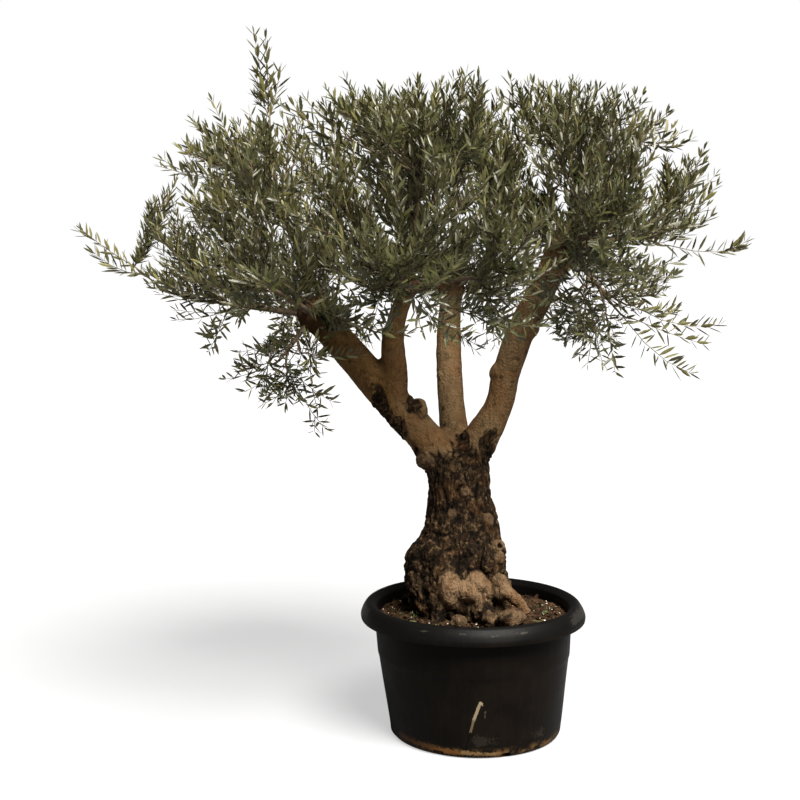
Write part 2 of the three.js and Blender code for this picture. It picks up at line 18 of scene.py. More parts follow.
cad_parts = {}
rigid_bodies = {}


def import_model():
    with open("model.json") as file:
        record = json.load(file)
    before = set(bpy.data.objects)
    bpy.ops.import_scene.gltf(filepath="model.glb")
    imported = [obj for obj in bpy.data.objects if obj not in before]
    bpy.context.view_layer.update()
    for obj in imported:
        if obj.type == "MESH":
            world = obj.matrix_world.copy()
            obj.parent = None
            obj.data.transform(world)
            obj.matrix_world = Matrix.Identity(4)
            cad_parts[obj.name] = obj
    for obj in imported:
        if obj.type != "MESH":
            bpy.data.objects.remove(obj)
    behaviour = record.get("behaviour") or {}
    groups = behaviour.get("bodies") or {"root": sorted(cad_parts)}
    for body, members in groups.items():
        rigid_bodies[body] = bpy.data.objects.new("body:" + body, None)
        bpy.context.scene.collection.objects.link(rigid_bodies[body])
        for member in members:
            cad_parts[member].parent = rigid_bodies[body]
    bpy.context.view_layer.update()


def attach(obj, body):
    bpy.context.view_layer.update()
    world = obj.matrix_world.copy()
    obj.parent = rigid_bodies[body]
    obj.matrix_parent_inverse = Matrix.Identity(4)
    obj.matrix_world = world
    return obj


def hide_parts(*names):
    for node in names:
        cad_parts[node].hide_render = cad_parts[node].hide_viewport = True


LOG = logging.getLogger("olive")

MM = 0.001  # metres in a millimetre
FULL_TURN = 2 * math.pi
GOLDEN_ANGLE = math.pi * (3 - math.sqrt(5))
BODY = "root"
UP = np.array([0.0, 0.0, 1.0])

NOISE_SHIFT = 17.31  # how far a seed of 1 shifts a pattern of noise, in lumps

Colour = tuple[float, float, float]
Point = tuple[float, float, float]
Names = Sequence[str]
Size = Sequence[float] | float
Array = np.ndarray
Arrays = tuple[Array, Array]  # such as points and the triangles between them
Draws = np.random.Generator
Piece = bpy.types.Object
Mesh = bpy.types.Mesh
Material = bpy.types.Material
Tree = bpy.types.NodeTree
Node = bpy.types.Node
Socket = bpy.types.NodeSocket
Sockets = bpy.types.bpy_prop_collection


# ---------------------------------------------------------------- numbers and lines


class Stream:
    """A seeded source of numbers from 0 to 1, the same one that the part's source draws from."""

    MASK = 0xFFFFFFFF

    def __init__(self, seed: int) -> None:
        """Start the stream from a whole number."""
        self.state = seed & self.MASK

    def draw(self) -> float:
        """Return the next number, from 0 up to 1."""
        self.state = (self.state + 0x6D2B79F5) & self.MASK
        t = self._times(self.state ^ (self.state >> 15), self.state | 1)
        t ^= (t + self._times(t ^ (t >> 7), t | 61)) & self.MASK
        return ((t ^ (t >> 14)) & self.MASK) / 4294967296

    def _times(self, a: int, b: int) -> int:
        """Multiply as whole numbers of 32 bits."""
        return (a * b) & self.MASK


def lengths(v: Array) -> Array:
    """Return the lengths of vectors along their last axis."""
    return np.linalg.norm(v, axis=-1)


def unit(v: Array) -> Array:
    """Scale vectors to length 1 along their last axis."""
    return v / np.maximum(np.linalg.norm(v, axis=-1, keepdims=True), 1e-9)


def square_to(v: Array, axis: Array) -> Array:
    """Return the unit part of vectors at right angles to unit axes."""
    return unit(v - (v * axis).sum(-1, keepdims=True) * axis)


def ease(x: Array | float, low: float, high: float) -> Array:
    """Rise smoothly from 0 at low to 1 at high."""
    t = np.clip((np.asarray(x, float) - low) / (high - low), 0, 1)
    return t * t * (3 - 2 * t)


def nearest(points: Array, place: Sequence[float]) -> Array:
    """Return the one of some points that is nearest to a place."""
    return points[np.argmin(lengths(points - np.array(place)))]


def on_curve(points: Array, t: float) -> Array:
    """Find a place on a smooth curve.

    Args:
        points: what the curve passes through, equal shares of the way apart.
        t: the share of the way, from 0 to 1.

    Returns:
        The point on the curve.
    """
    last = len(points) - 1
    place = last * min(max(t, 0.0), 1.0)
    k = min(int(place), last - 1)
    w = place - k
    a, b = points[k], points[k + 1]
    before = points[k - 1] if k > 0 else 2 * a - b
    after = points[k + 2] if k + 2 <= last else 2 * b - a
    slope_a, slope_b = 0.5 * (b - before), 0.5 * (after - a)
    return (
        a
        + slope_a * w
        + (3 * (b - a) - 2 * slope_a - slope_b) * w**2
        + (2 * (a - b) + slope_a + slope_b) * w**3
    )


def along_curve(points: Array, shares: Sequence[float]) -> Array:
    """Return the points at several shares of a smooth curve, one a row."""
    return np.array([on_curve(points, t) for t in shares])


def heading_on(points: Array, t: float) -> Array:
    """Return the unit direction of the smooth curve through points at a share of the way."""
    step = 1e-4
    return unit(on_curve(points, min(t + step, 1.0)) - on_curve(points, max(t - step, 0.0)))


def sampled(pattern: Callable[[list[float]], float], points: Array, size: Size, seed: float) -> Array:
    """Sample a noise pattern at points, with forms of a size; a seed shifts it."""
    places = points / np.asarray(size) + seed * NOISE_SHIFT
    return np.array([pattern(place) for place in places.tolist()])


def lumps(points: Array, size: Size, seed: float) -> Array:
    """Sample smooth noise: from about -1 to 1 for each point."""
    return sampled(noise.noise, points, size, seed)


def mounds(points: Array, size: Size, seed: float) -> Array:
    """Sample a pattern of mounds: 0 in the winding cracks between them, rising to 1 on top."""
    return np.clip(np.abs(lumps(points, size, seed)) * 2.8, 0, 1) ** 0.6


def nodules(points: Array, size: Size, seed: float) -> Array:
    """Sample a pattern of round knobs: 1 in the middle of each, falling to 0 between them."""
    near = sampled(lambda place: noise.voronoi(place)[0][0], points, size, seed)
    return np.clip(1 - (near / 0.75) ** 2, 0, 1)


# ---------------------------------------------------------------- meshes from arrays


def in_scene(name: str, data: bpy.types.ID) -> Piece:
    """Make an object that holds data, linked to the scene."""
    piece = bpy.data.objects.new(name, data)
    bpy.context.scene.collection.objects.link(piece)
    return piece


@dataclass
class Shape:
    """Points and triangles gathered for one mesh, with the number of a finish for each triangle."""

    points: list[Array] = field(default_factory=list)
    triangles: list[Array] = field(default_factory=list)
    finishes: list[Array] = field(default_factory=list)
    size: int = 0

    def add(self, points: Array, triangles: Array, finish: Array | int = 0) -> None:
        """Add points and the triangles between them.

        Args:
            points: one point a row.
            triangles: three numbers of points a row.
            finish: the number of the finish, or one for each triangle.
        """
        self.points.append(points.reshape(-1, 3))
        self.triangles.append(triangles.reshape(-1, 3) + self.size)
        self.finishes.append(np.broadcast_to(finish, len(self.triangles[-1])))
        self.size += len(self.points[-1])

    def add_each(self, forms: Array, faces: Sequence[Sequence[int]], finish: Array | int = 0) -> None:
        """Add small forms of one make, as forms x points x 3, with the faces of one and a finish for each."""
        triangles = np.arange(len(forms))[:, None, None] * forms.shape[1] + np.array(faces)
        self.add(forms, triangles, np.repeat(np.broadcast_to(finish, len(forms)), len(faces)))

    def build(self, name: str, smooth: bool = True) -> Piece:
        """Make the mesh and its object, in metres.

        Args:
            name: the piece's name.
            smooth: whether it is shaded as one smooth surface.

        Returns:
            The new object.
        """
        points, triangles = np.vstack(self.points), np.vstack(self.triangles)
        mesh = bpy.data.meshes.new(name)
        mesh.vertices.add(len(points))
        mesh.vertices.foreach_set("co", (points * MM).astype(np.float32).ravel())
        mesh.loops.add(triangles.size)
        mesh.loops.foreach_set("vertex_index", triangles.astype(np.int32).ravel())
        mesh.polygons.add(len(triangles))
        mesh.polygons.foreach_set("loop_start", np.arange(0, triangles.size, 3, dtype=np.int32))
        mesh.polygons.foreach_set("material_index", np.concatenate(self.finishes).astype(np.int32))
        mesh.polygons.foreach_set("use_smooth", np.full(len(triangles), smooth))
        mesh.update(calc_edges=True)
        mesh.validate()
        return in_scene(name, mesh)


def rows_of_rings(rows: int, rings: int, sides: int, capped: bool = True) -> Array:
    """Number the triangles of tubes whose points lie ring after ring.

    Args:
        rows: how many tubes there are.
        rings: how many rings each has.
        sides: how many points a ring has.
        capped: whether the ends are closed.

    Returns:
        Three numbers of points a row.
    """
    a = (np.arange(rings - 1)[:, None] * sides + np.arange(sides)).ravel()
    b = (np.arange(rings - 1)[:, None] * sides + (np.arange(sides) + 1) % sides).ravel()
    skin = np.concatenate([np.stack([a, b, b + sides], 1), np.stack([a, b + sides, a + sides], 1)])
    if capped:
        j = np.arange(1, sides - 1)
        last = (rings - 1) * sides
        foot = np.stack([np.zeros_like(j), j + 1, j], 1)
        skin = np.concatenate([skin, foot, np.stack([np.full_like(j, last), last + j, last + j + 1], 1)])
    return (np.arange(rows)[:, None, None] * rings * sides + skin).reshape(-1, 3)


def tubes(lines: Array, radii: Array, sides: int) -> Arrays:
    """Lay round tapering tubes along lines.

    Args:
        lines: as lines x points x 3.
        radii: the radius at each point.
        sides: how many sides a tube has.

    Returns:
        The tubes' points and triangles.
    """
    along = unit(np.gradient(lines, axis=1))
    whole = unit(lines[:, -1] - lines[:, 0])
    guide = np.where(np.abs(whole[:, 2:]) < 0.8, UP, np.array([0.0, 1.0, 0.0]))
    across = square_to(guide[:, None, :], along)
    other = np.cross(along, across)
    turn = (np.arange(sides) / sides * FULL_TURN)[:, None]
    ring = np.cos(turn) * across[:, :, None, :] + np.sin(turn) * other[:, :, None, :]
    points = lines[:, :, None, :] + ring * radii[:, :, None, None]
    count, rings = lines.shape[:2]
    return points.reshape(-1, 3), rows_of_rings(count, rings, sides)


def limb(line: Array, radii: Array, sides: int) -> Arrays:
    """Lay one round tapering tube along a line."""
    return tubes(line[None], radii[None], sides)


def lathe(profile: Array, sides: int) -> Arrays:
    """Turn a profile round the upright axis.

    Args:
        profile: radius and height a row, from the axis round to the axis.
        sides: how many sides the form has.

    Returns:
        The points and triangles of the closed form.
    """
    turn = np.arange(sides) / sides * FULL_TURN
    body = profile[1:-1]
    ring = np.stack([np.cos(turn), np.sin(turn)], 1)
    flat = body[:, None, :1] * ring[None]
    heights = np.broadcast_to(body[:, None, 1:], (*flat.shape[:2], 1))
    points = np.concatenate([flat, heights], 2).reshape(-1, 3)
    skin = rows_of_rings(1, len(body), sides, capped=False)
    first, last = len(points), len(points) + 1
    j = np.arange(sides)
    after = (j + 1) % sides
    top = (len(body) - 1) * sides
    foot = np.stack([np.full(sides, first), after, j], 1)
    lid = np.stack([np.full(sides, last), top + j, top + after], 1)
    poles = [[0, 0, profile[0][1]], [0, 0, profile[-1][1]]]
    return np.vstack([points, poles]), np.vstack([skin, foot, lid])


def rounded(profile: Sequence[Sequence[float]], steps: int = 5) -> Array:
    """Round the corners of a profile.

    Args:
        profile: radius, height and rounding of each corner.
        steps: how many stretches a rounding has.

    Returns:
        Radius and height, one point a row.
    """
    out: list[Array] = []
    for i, (r, z, bend) in enumerate(profile):
        corner = np.array([r, z], float)
        if not bend or i in (0, len(profile) - 1):
            out.append(corner)
            continue
        back = np.array(profile[i - 1][:2], float) - corner
        ahead = np.array(profile[i + 1][:2], float) - corner
        reach = min(bend, 0.48 * np.linalg.norm(back), 0.48 * np.linalg.norm(ahead))
        start, end = corner + unit(back) * reach, corner + unit(ahead) * reach
        for t in np.linspace(0, 1, steps + 1):
            out.append((1 - t) ** 2 * start + 2 * t * (1 - t) * corner + t * t * end)
    return np.array(out)


def finer(profile: Array, longest: float) -> Array:
    """Split a profile's long stretches so that none is longer than a length."""
    out = [profile[0]]
    for a, b in zip(profile[:-1], profile[1:]):
        count = max(1, math.ceil(np.linalg.norm(b - a) / longest))
        out.extend(a + (b - a) * (k + 1) / count for k in range(count))
    return np.array(out)


def turned(points: Array, turn: float) -> Array:
    """Turn points round the upright axis."""
    (x, y, z), c, s = points.T, math.cos(turn), math.sin(turn)
    return np.stack([x * c - y * s, x * s + y * c, z], 1)


def ball(middle: Array, half: Sequence[float], turn: float = 0.0, bumps: float = 0.0) -> Arrays:
    """Make a rounded lump.

    Args:
        middle: where its middle is.
        half: its half-sizes out, across and up, before it is turned.
        turn: its turn round the upright axis.
        bumps: how uneven it is, as a share of its size.

    Returns:
        Its points and triangles.
    """
    rings, sides = 18, 28
    lean = np.linspace(0, math.pi, rings)
    profile = np.stack([np.sin(lean), -np.cos(lean)], 1)
    points, triangles = lathe(profile, sides)
    if bumps:
        points = points * (1 + bumps * lumps(points + middle / 37.0, 0.62, 3.1))[:, None]
    return turned(points * np.asarray(half, float), turn) + middle, triangles


def settle(piece: Piece) -> None:
    """Apply a piece's modifiers to its mesh."""
    shaped = bpy.data.meshes.new_from_object(piece.evaluated_get(bpy.context.evaluated_depsgraph_get()))
    piece.modifiers.clear()
    old, piece.data = piece.data, shaped
    shaped.name = piece.name
    bpy.data.meshes.remove(old)


def vectors_of(owners: Sockets, name: str) -> Array:
    """Read one vector of each of a mesh's parts, one a row."""
    flat = np.empty(len(owners) * 3, np.float32)
    owners.foreach_get(name, flat)
    return flat.reshape(-1, 3).astype(float)


def places_of(mesh: Mesh) -> Array:
    """Return a mesh's points in millimetres."""
    return vectors_of(mesh.vertices, "co") / MM


def move_points(mesh: Mesh, points: Array) -> None:
    """Put a mesh's points at new places, given in millimetres."""
    mesh.vertices.foreach_set("co", (points * MM).astype(np.float32).ravel())
    mesh.update()


def mark_points(mesh: Mesh, name: str, values: Array) -> None:
    """Keep one number for each of a mesh's points, for its finish to read."""
    layer = mesh.attributes.new(name, "FLOAT", "POINT")
    layer.data.foreach_set("value", values.astype(np.float32))


# ---------------------------------------------------------------- shader kit


def tint(red: int, green: int, blue: int) -> Colour:
    """Turn a colour as seen on a screen, 0 to 255, into the plain light that a shader works with."""
    shares = (value / 255 for value in (red, green, blue))
    return tuple(v / 12.92 if v <= 0.04045 else ((v + 0.055) / 1.055) ** 2.4 for v in shares)


class Sketch:
    """A node tree being drawn: it adds nodes, sets their values and joins their sockets."""

    def __init__(self, tree: Tree) -> None:
        """Start on a tree, cleared of what it holds."""
        self.tree = tree
        tree.nodes.clear()

    def add(self, kind: str, inputs: dict[str | int, object] | None = None, **settings: object) -> Node:
        """Add a node.

        Args:
            kind: the node's type, without ShaderNode before it.
            inputs: a value or a socket for each input, by name or number.
            **settings: the node's own settings.

        Returns:
            The new node.
        """
        node = self.tree.nodes.new(f"ShaderNode{kind}")
        for key, value in settings.items():
            setattr(node, key, value)
        for key, value in (inputs or {}).items():
            self.feed(node.inputs[key], value)
        return node

    def feed(self, socket: Socket, value: object) -> None:
        """Join an output to an input socket, or set the socket's own value."""
        if isinstance(value, Socket):
            self.tree.links.new(value, socket)
        elif isinstance(value, tuple) and len(value) == 3 and socket.type == "RGBA":
            socket.default_value = (*value, 1.0)
        else:
            socket.default_value = value

    def mix(self, mask: object, first: object, second: object) -> Socket:
        """Mix two colours by a mask from 0, the first, to 1, the second."""
        return self.add("Mix", {0: mask, 6: first, 7: second}, data_type="RGBA").outputs[2]

    def coats(self, base: object, *coats: tuple[object, float, object]) -> object:
        """Lay colours over a base, each with its mask and the mask's weight before it."""
        for mask, weight, colour in coats:
            base = self.mix(self.times(mask, weight), base, colour)
        return base

    def sum(self, kind: str, first: object, second: object, kept: bool = False) -> Socket:
        """Work out a sum of the named kind on two numbers, kept within 0 to 1 if asked."""
        return self.add("Math", {0: first, 1: second}, operation=kind, use_clamp=kept).outputs[0]

    def times(self, first: object, second: object, kept: bool = False) -> Socket:
        """Multiply two numbers, kept within 0 to 1 if asked."""
        return self.sum("MULTIPLY", first, second, kept)

    def plus(self, first: object, second: object, kept: bool = False) -> Socket:
        """Add two numbers, kept within 0 to 1 if asked."""
        return self.sum("ADD", first, second, kept)

    def vectors(self, kind: str, first: object, second: object) -> Node:
        """Work out a sum of the named kind on two vectors."""
        return self.add("VectorMath", {0: first, 1: second}, operation=kind)

    def ramp(self, value: object, low: object, high: object) -> Socket:
        """Rise smoothly from 0 where the value is low to 1 where it is high."""
        return self.add("MapRange", {0: value, 1: low, 2: high}, interpolation_type="SMOOTHSTEP").outputs[0]

    def cloud(self, place: Socket, scale: object, detail: float = 4.0, rough: float = 0.5) -> Socket:
        """Sample soft noise at a place."""
        inputs = {"Vector": place, "Scale": scale, "Detail": detail, "Roughness": rough}
        return self.add("TexNoise", inputs).outputs["Fac"]


class Effect(Enum):
    """Effects that several finishes share, each a node group."""

    MOTTLE = "soft mottling"
    GRIT = "fine grit"
    STREAKS = "upright streaks"
    # lines of wear, and lines of painted highlight
    WORN_LINE = "worn line"


class ShaderKit:
    """Builds each shared effect once and gives it to the finishes that ask for it."""

    def __init__(self) -> None:
        """Start with no effect built."""
        self.built: dict[Effect, Tree] = {}
        self.makers = {
            Effect.MOTTLE: self._mottle,
            Effect.GRIT: self._grit,
            Effect.STREAKS: self._streaks,
            Effect.WORN_LINE: self._worn_line,
        }

    def get(self, effect: Effect) -> Tree:
        """Return the group for an effect, built on first use."""
        if effect not in self.built:
            self.built[effect] = self.makers[effect]()
        return self.built[effect]

    @staticmethod
    def _open(
        effect: Effect, places: Names, numbers: dict[str, float], gives: Names
    ) -> tuple[Sketch, Sockets, Sockets]:
        """Start a group with named sockets.

        Args:
            effect: what it makes.
            places: the names of its vector inputs.
            numbers: the first values of its number inputs, by name.
            gives: the names of its outputs, all numbers.

        Returns:
            The sketch, and what the group takes and gives, by name.
        """
        tree = bpy.data.node_groups.new(effect.value, "ShaderNodeTree")
        for name in places:
            tree.interface.new_socket(name, in_out="INPUT", socket_type="NodeSocketVector")
        for name, value in numbers.items():
            socket = tree.interface.new_socket(name, in_out="INPUT", socket_type="NodeSocketFloat")
            socket.default_value = value
        for name in gives:
            tree.interface.new_socket(name, in_out="OUTPUT", socket_type="NodeSocketFloat")
        sketch = Sketch(tree)
        return sketch, tree.nodes.new("NodeGroupInput").outputs, tree.nodes.new("NodeGroupOutput").inputs

    def _mottle(self) -> Tree:
        """Build soft patches: a mask from 0 to 1 in blotches of a size, and the same as a height."""
        numbers = {"Size": 0.05, "Low": 0.4, "High": 0.6}
        s, takes, gives = self._open(Effect.MOTTLE, ("Vector",), numbers, ("Mask", "Height"))
        cloud = s.cloud(takes["Vector"], s.sum("DIVIDE", 1.0, takes["Size"]), 4.0, 0.62)
        s.feed(gives["Mask"], s.ramp(cloud, takes["Low"], takes["High"]))
        s.feed(gives["Height"], cloud)
        return s.tree

    def _grit(self) -> Tree:
        """Build fine grit: a height of small grains over a softer unevenness, and a mask of the grains."""
        s, takes, gives = self._open(Effect.GRIT, ("Vector",), {"Size": 0.003}, ("Height", "Specks"))
        scale = s.sum("DIVIDE", 1.0, takes["Size"])
        grains = s.add("TexVoronoi", {"Vector": takes["Vector"], "Scale": scale}).outputs["Distance"]
        cloud = s.cloud(takes["Vector"], s.times(scale, 0.6), 5.0, 0.7)
        s.feed(gives["Height"], s.plus(s.times(grains, 0.45), s.times(cloud, 0.8)))
        s.feed(gives["Specks"], s.ramp(grains, 0.42, 0.12))
        return s.tree

    def _streaks(self) -> Tree:
        """Build upright streaks: a mask and a height drawn out along Z."""
        numbers = {"Size": 0.01, "Length": 8.0}
        s, takes, gives = self._open(Effect.STREAKS, ("Vector",), numbers, ("Mask", "Height"))
        x, y, z = s.add("SeparateXYZ", {0: takes["Vector"]}).outputs
        drawn = s.add("CombineXYZ", {0: x, 1: y, 2: s.sum("DIVIDE", z, takes["Length"])}).outputs[0]
        cloud = s.cloud(drawn, s.sum("DIVIDE", 1.0, takes["Size"]), 4.0, 0.6)
        s.feed(gives["Mask"], s.ramp(cloud, 0.46, 0.66))
        s.feed(gives["Height"], cloud)
        return s.tree

    def _worn_line(self) -> Tree:
        """Build a ragged line between two places: a mask that is 1 on it."""
        numbers = {"Width": 0.005, "Strength": 1.0, "Ragged": 1.0}
        s, takes, gives = self._open(Effect.WORN_LINE, ("Vector", "Start", "End"), numbers, ("Mask",))
        off = s.vectors("SUBTRACT", takes["Vector"], takes["Start"]).outputs[0]
        line = s.vectors("SUBTRACT", takes["End"], takes["Start"]).outputs[0]
        length = s.vectors("DOT_PRODUCT", line, line).outputs["Value"]
        share = s.sum("DIVIDE", s.vectors("DOT_PRODUCT", off, line).outputs["Value"], length, kept=True)
        nearest = s.add("VectorMath", {0: line, "Scale": share}, operation="SCALE").outputs[0]
        aside = s.vectors("SUBTRACT", off, nearest).outputs[0]
        gap = s.vectors("LENGTH", aside, (0.0, 0.0, 0.0)).outputs["Value"]
        cloud = s.sum("POWER", s.cloud(takes["Vector"], 150.0), 2.0)
        uneven = s.plus(s.times(s.sum("SUBTRACT", s.times(cloud, 4.0), 1.0), takes["Ragged"]), 1.0)
        ragged = s.times(s.sum("DIVIDE", gap, takes["Width"]), uneven)
        s.feed(gives["Mask"], s.times(s.ramp(ragged, 1.15, 0.75), takes["Strength"]))
        return s.tree


class Surface(Sketch):
    """A material being made: its shader, with the shared effects laid over the object."""

    def __init__(self, material: Material, kit: ShaderKit) -> None:
        """Start on an empty material."""
        super().__init__(material.node_tree)
        self.kit = kit
        self.shader = self.add("BsdfPrincipled")
        self.add("OutputMaterial", {"Surface": self.shader.outputs[0]})
        self.place = self.add("TexCoord").outputs["Object"]

    def put(self, name: str, value: object) -> None:
        """Give one of the shader's inputs a value or a socket."""
        self.feed(self.shader.inputs[name], value)

    def lay(self, effect: Effect, **inputs: object) -> Sockets:
        """Lay a shared effect over the object.

        Args:
            effect: which effect.
            **inputs: its inputs by name.

        Returns:
            Its outputs by name.
        """
        node = self.add("Group", node_tree=self.kit.get(effect))
        for key, value in {"vector": self.place, **inputs}.items():
            self.feed(node.inputs[key.capitalize()], value)
        return node.outputs

    def spots(self, size: float, low: float, high: float) -> Socket:
        """Lay soft patches over the object and return their mask."""
        return self.lay(Effect.MOTTLE, size=size, low=low, high=high)["Mask"]

    def bump(self, height: Socket, strength: float, distance: float) -> None:
        """Shade the surface as if it rose by a height."""
        node = self.add("Bump", {"Strength": strength, "Distance": distance, "Height": height})
        self.put("Normal", node.outputs[0])


@dataclass(frozen=True)
class Finish:
    """What every finish shares: its name, how rough it is and how much it shines."""

    name: str
    rough: float = 0.7
    shine: float = 0.4

    def dress(self, kit: ShaderKit) -> Material:
        """Build the material from the shared effects."""
        material = bpy.data.materials.new(self.name)
        material.use_nodes = True
        surface = Surface(material, kit)
        surface.put("Roughness", self.rough)
        surface.put("Specular IOR Level", self.shine)
        self.paint(surface)
        return material

    def paint(self, s: Surface) -> None:
        """Give the surface its colours and its fine relief."""


@dataclass(frozen=True)
class LeafFinish(Finish):
    """An olive leaf: matt green above, silvery below."""

    above: Colour = (0.1, 0.1, 0.05)
    below: Colour = (0.3, 0.3, 0.22)
    rough: float = 0.42
    shine: float = 0.5

    def paint(self, s: Surface) -> None:
        """Colour the two sides apart, in soft spots."""
        spots = s.spots(0.035, 0.3, 0.7)
        dusty = tuple(0.62 * c + 0.38 * d for c, d in zip(self.above, self.below))
        pale = tuple(min(1.0, 1.22 * c) for c in self.below)
        side = s.add("NewGeometry").outputs["Backfacing"]
        s.put("Base Color", s.mix(side, s.mix(spots, self.above, dusty), s.mix(spots, self.below, pale)))
        s.bump(s.lay(Effect.GRIT, size=0.004)["Height"], 0.25, 0.0006)


@dataclass(frozen=True)
class TwigFinish(Finish):
    """A thin branch or scrap: its skin with patches of another colour."""

    skin: Colour = (0.1, 0.08, 0.05)
    patch: Colour = (0.2, 0.17, 0.12)
    rough: float = 0.8

    def paint(self, s: Surface) -> None:
        """Colour the skin in patches."""
        s.put("Base Color", s.mix(s.spots(0.03, 0.35, 0.65), self.skin, self.patch))
        s.bump(s.lay(Effect.GRIT, size=0.003)["Height"], 0.5, 0.001)


@dataclass(frozen=True)
class BarkFinish(Finish):
    """Olive bark: dark cracks, brown and rusty plates, smooth tan skin on the boughs, pale old wood.

    It reads five numbers kept on the mesh: crack (1 deep in a crack, where the finish darkens the relief's
    hollows, partly as the bark's own dark and partly as painted shade), age (1 on old bark), bare (1 on
    smooth old wood), cut (1 on a pollard head's cut wood) and brown (1 on the left limbs, whose skin is
    browner by tone and darker as painted shade).
    """

    # near black: the cracks' own dark together with the painted shade in the relief's hollows; also the dark
    # blots and fibres
    crack: Colour = tint(10, 7, 4)
    earth: Colour = tint(34, 24, 15)
    plate: Colour = tint(86, 69, 48)
    rust: Colour = tint(68, 45, 25)
    skin: Colour = tint(104, 84, 59)
    # the left limbs' skin: browner by tone, and darker as painted shade
    brown_skin: Colour = tint(94, 70, 40)
    tan_rust: Colour = tint(100, 71, 43)
    stain: Colour = tint(52, 37, 21)
    wood: Colour = tint(101, 81, 60)
    wood_rust: Colour = tint(80, 56, 34)
    cut_wood: Colour = tint(46, 30, 18)
    rough: float = 0.9
    shine: float = 0.06

    def paint(self, s: Surface) -> None:
        """Colour old bark, young skin and bare wood, and mix them by the numbers on the mesh."""
        kept = [s.add("Attribute", attribute_name=name) for name in ("crack", "age", "bare", "cut", "brown")]
        crack, age, bare, cut, brown = (node.outputs["Fac"] for node in kept)
        fine = s.lay(Effect.GRIT, size=0.0065)
        streak = s.lay(Effect.STREAKS, size=0.012, length=9.0)
        fibre = s.lay(Effect.STREAKS, size=0.011, length=5.0)
        broad, small = s.spots(0.06, 0.5, 0.64), s.spots(0.016, 0.46, 0.66)
        blots, patches = s.spots(0.03, 0.58, 0.68), s.spots(0.13, 0.44, 0.62)
        plates = s.mix(small, self.earth, self.plate)
        old = s.coats(plates, (broad, 0.5, self.rust), (fibre["Mask"], 0.8, self.crack))
        # deep in the cracks the old bark darkens to near black: partly the fissures' own colour, partly
        # painted shade in the relief's hollows
        depth = s.plus(crack, s.times(fine["Specks"], 0.14), kept=True)
        old = s.mix(s.ramp(depth, 0.2, 0.75), old, self.crack)
        # the young skin turns to the left limbs' browner, darker skin where brown is high: partly tone,
        # partly painted shade
        young = s.coats(
            s.mix(brown, self.skin, self.brown_skin),
            (patches, 0.65, self.tan_rust),
            (streak["Mask"], 0.35, self.stain),
            (small, 0.25, self.stain),
            (blots, 0.6, self.crack),
            (cut, 0.85, self.cut_wood),
        )
        colour = s.mix(s.ramp(age, 0.2, 0.8), young, old)
        rusty = s.coats(self.wood, (broad, 0.75, self.wood_rust))
        stained = s.coats(rusty, (fine["Specks"], 0.45, self.stain), (blots, 0.5, self.earth))
        # bare wood darkens in its deepest cracks too: partly their own colour, partly painted shade
        pale = s.mix(s.ramp(crack, 0.6, 0.95), stained, self.crack)
        s.put("Base Color", s.mix(bare, colour, pale))
        height = s.plus(fine["Height"], s.times(streak["Height"], 0.8))
        ridges = s.times(s.times(fibre["Height"], -2.6), s.ramp(age, 0.2, 0.8))
        s.bump(s.plus(height, ridges), 1.0, 0.006)


@dataclass(frozen=True)
class Mark:
    """A mark along a line on a surface, for wear and for painted highlights: from where to where, how wide,
    and its colour.
    """

    start: Point
    end: Point
    width: float
    colour: Colour
    strength: float = 1.0
    ragged: float = 1.0

    def lay(self, s: Surface) -> Socket:
        """Lay the line over a surface and return its mask."""
        start, end = (tuple(x * MM for x in place) for place in (self.start, self.end))
        rest = {"width": self.width * MM, "strength": self.strength, "ragged": self.ragged}
        return s.lay(Effect.WORN_LINE, start=start, end=end, **rest)["Mask"]


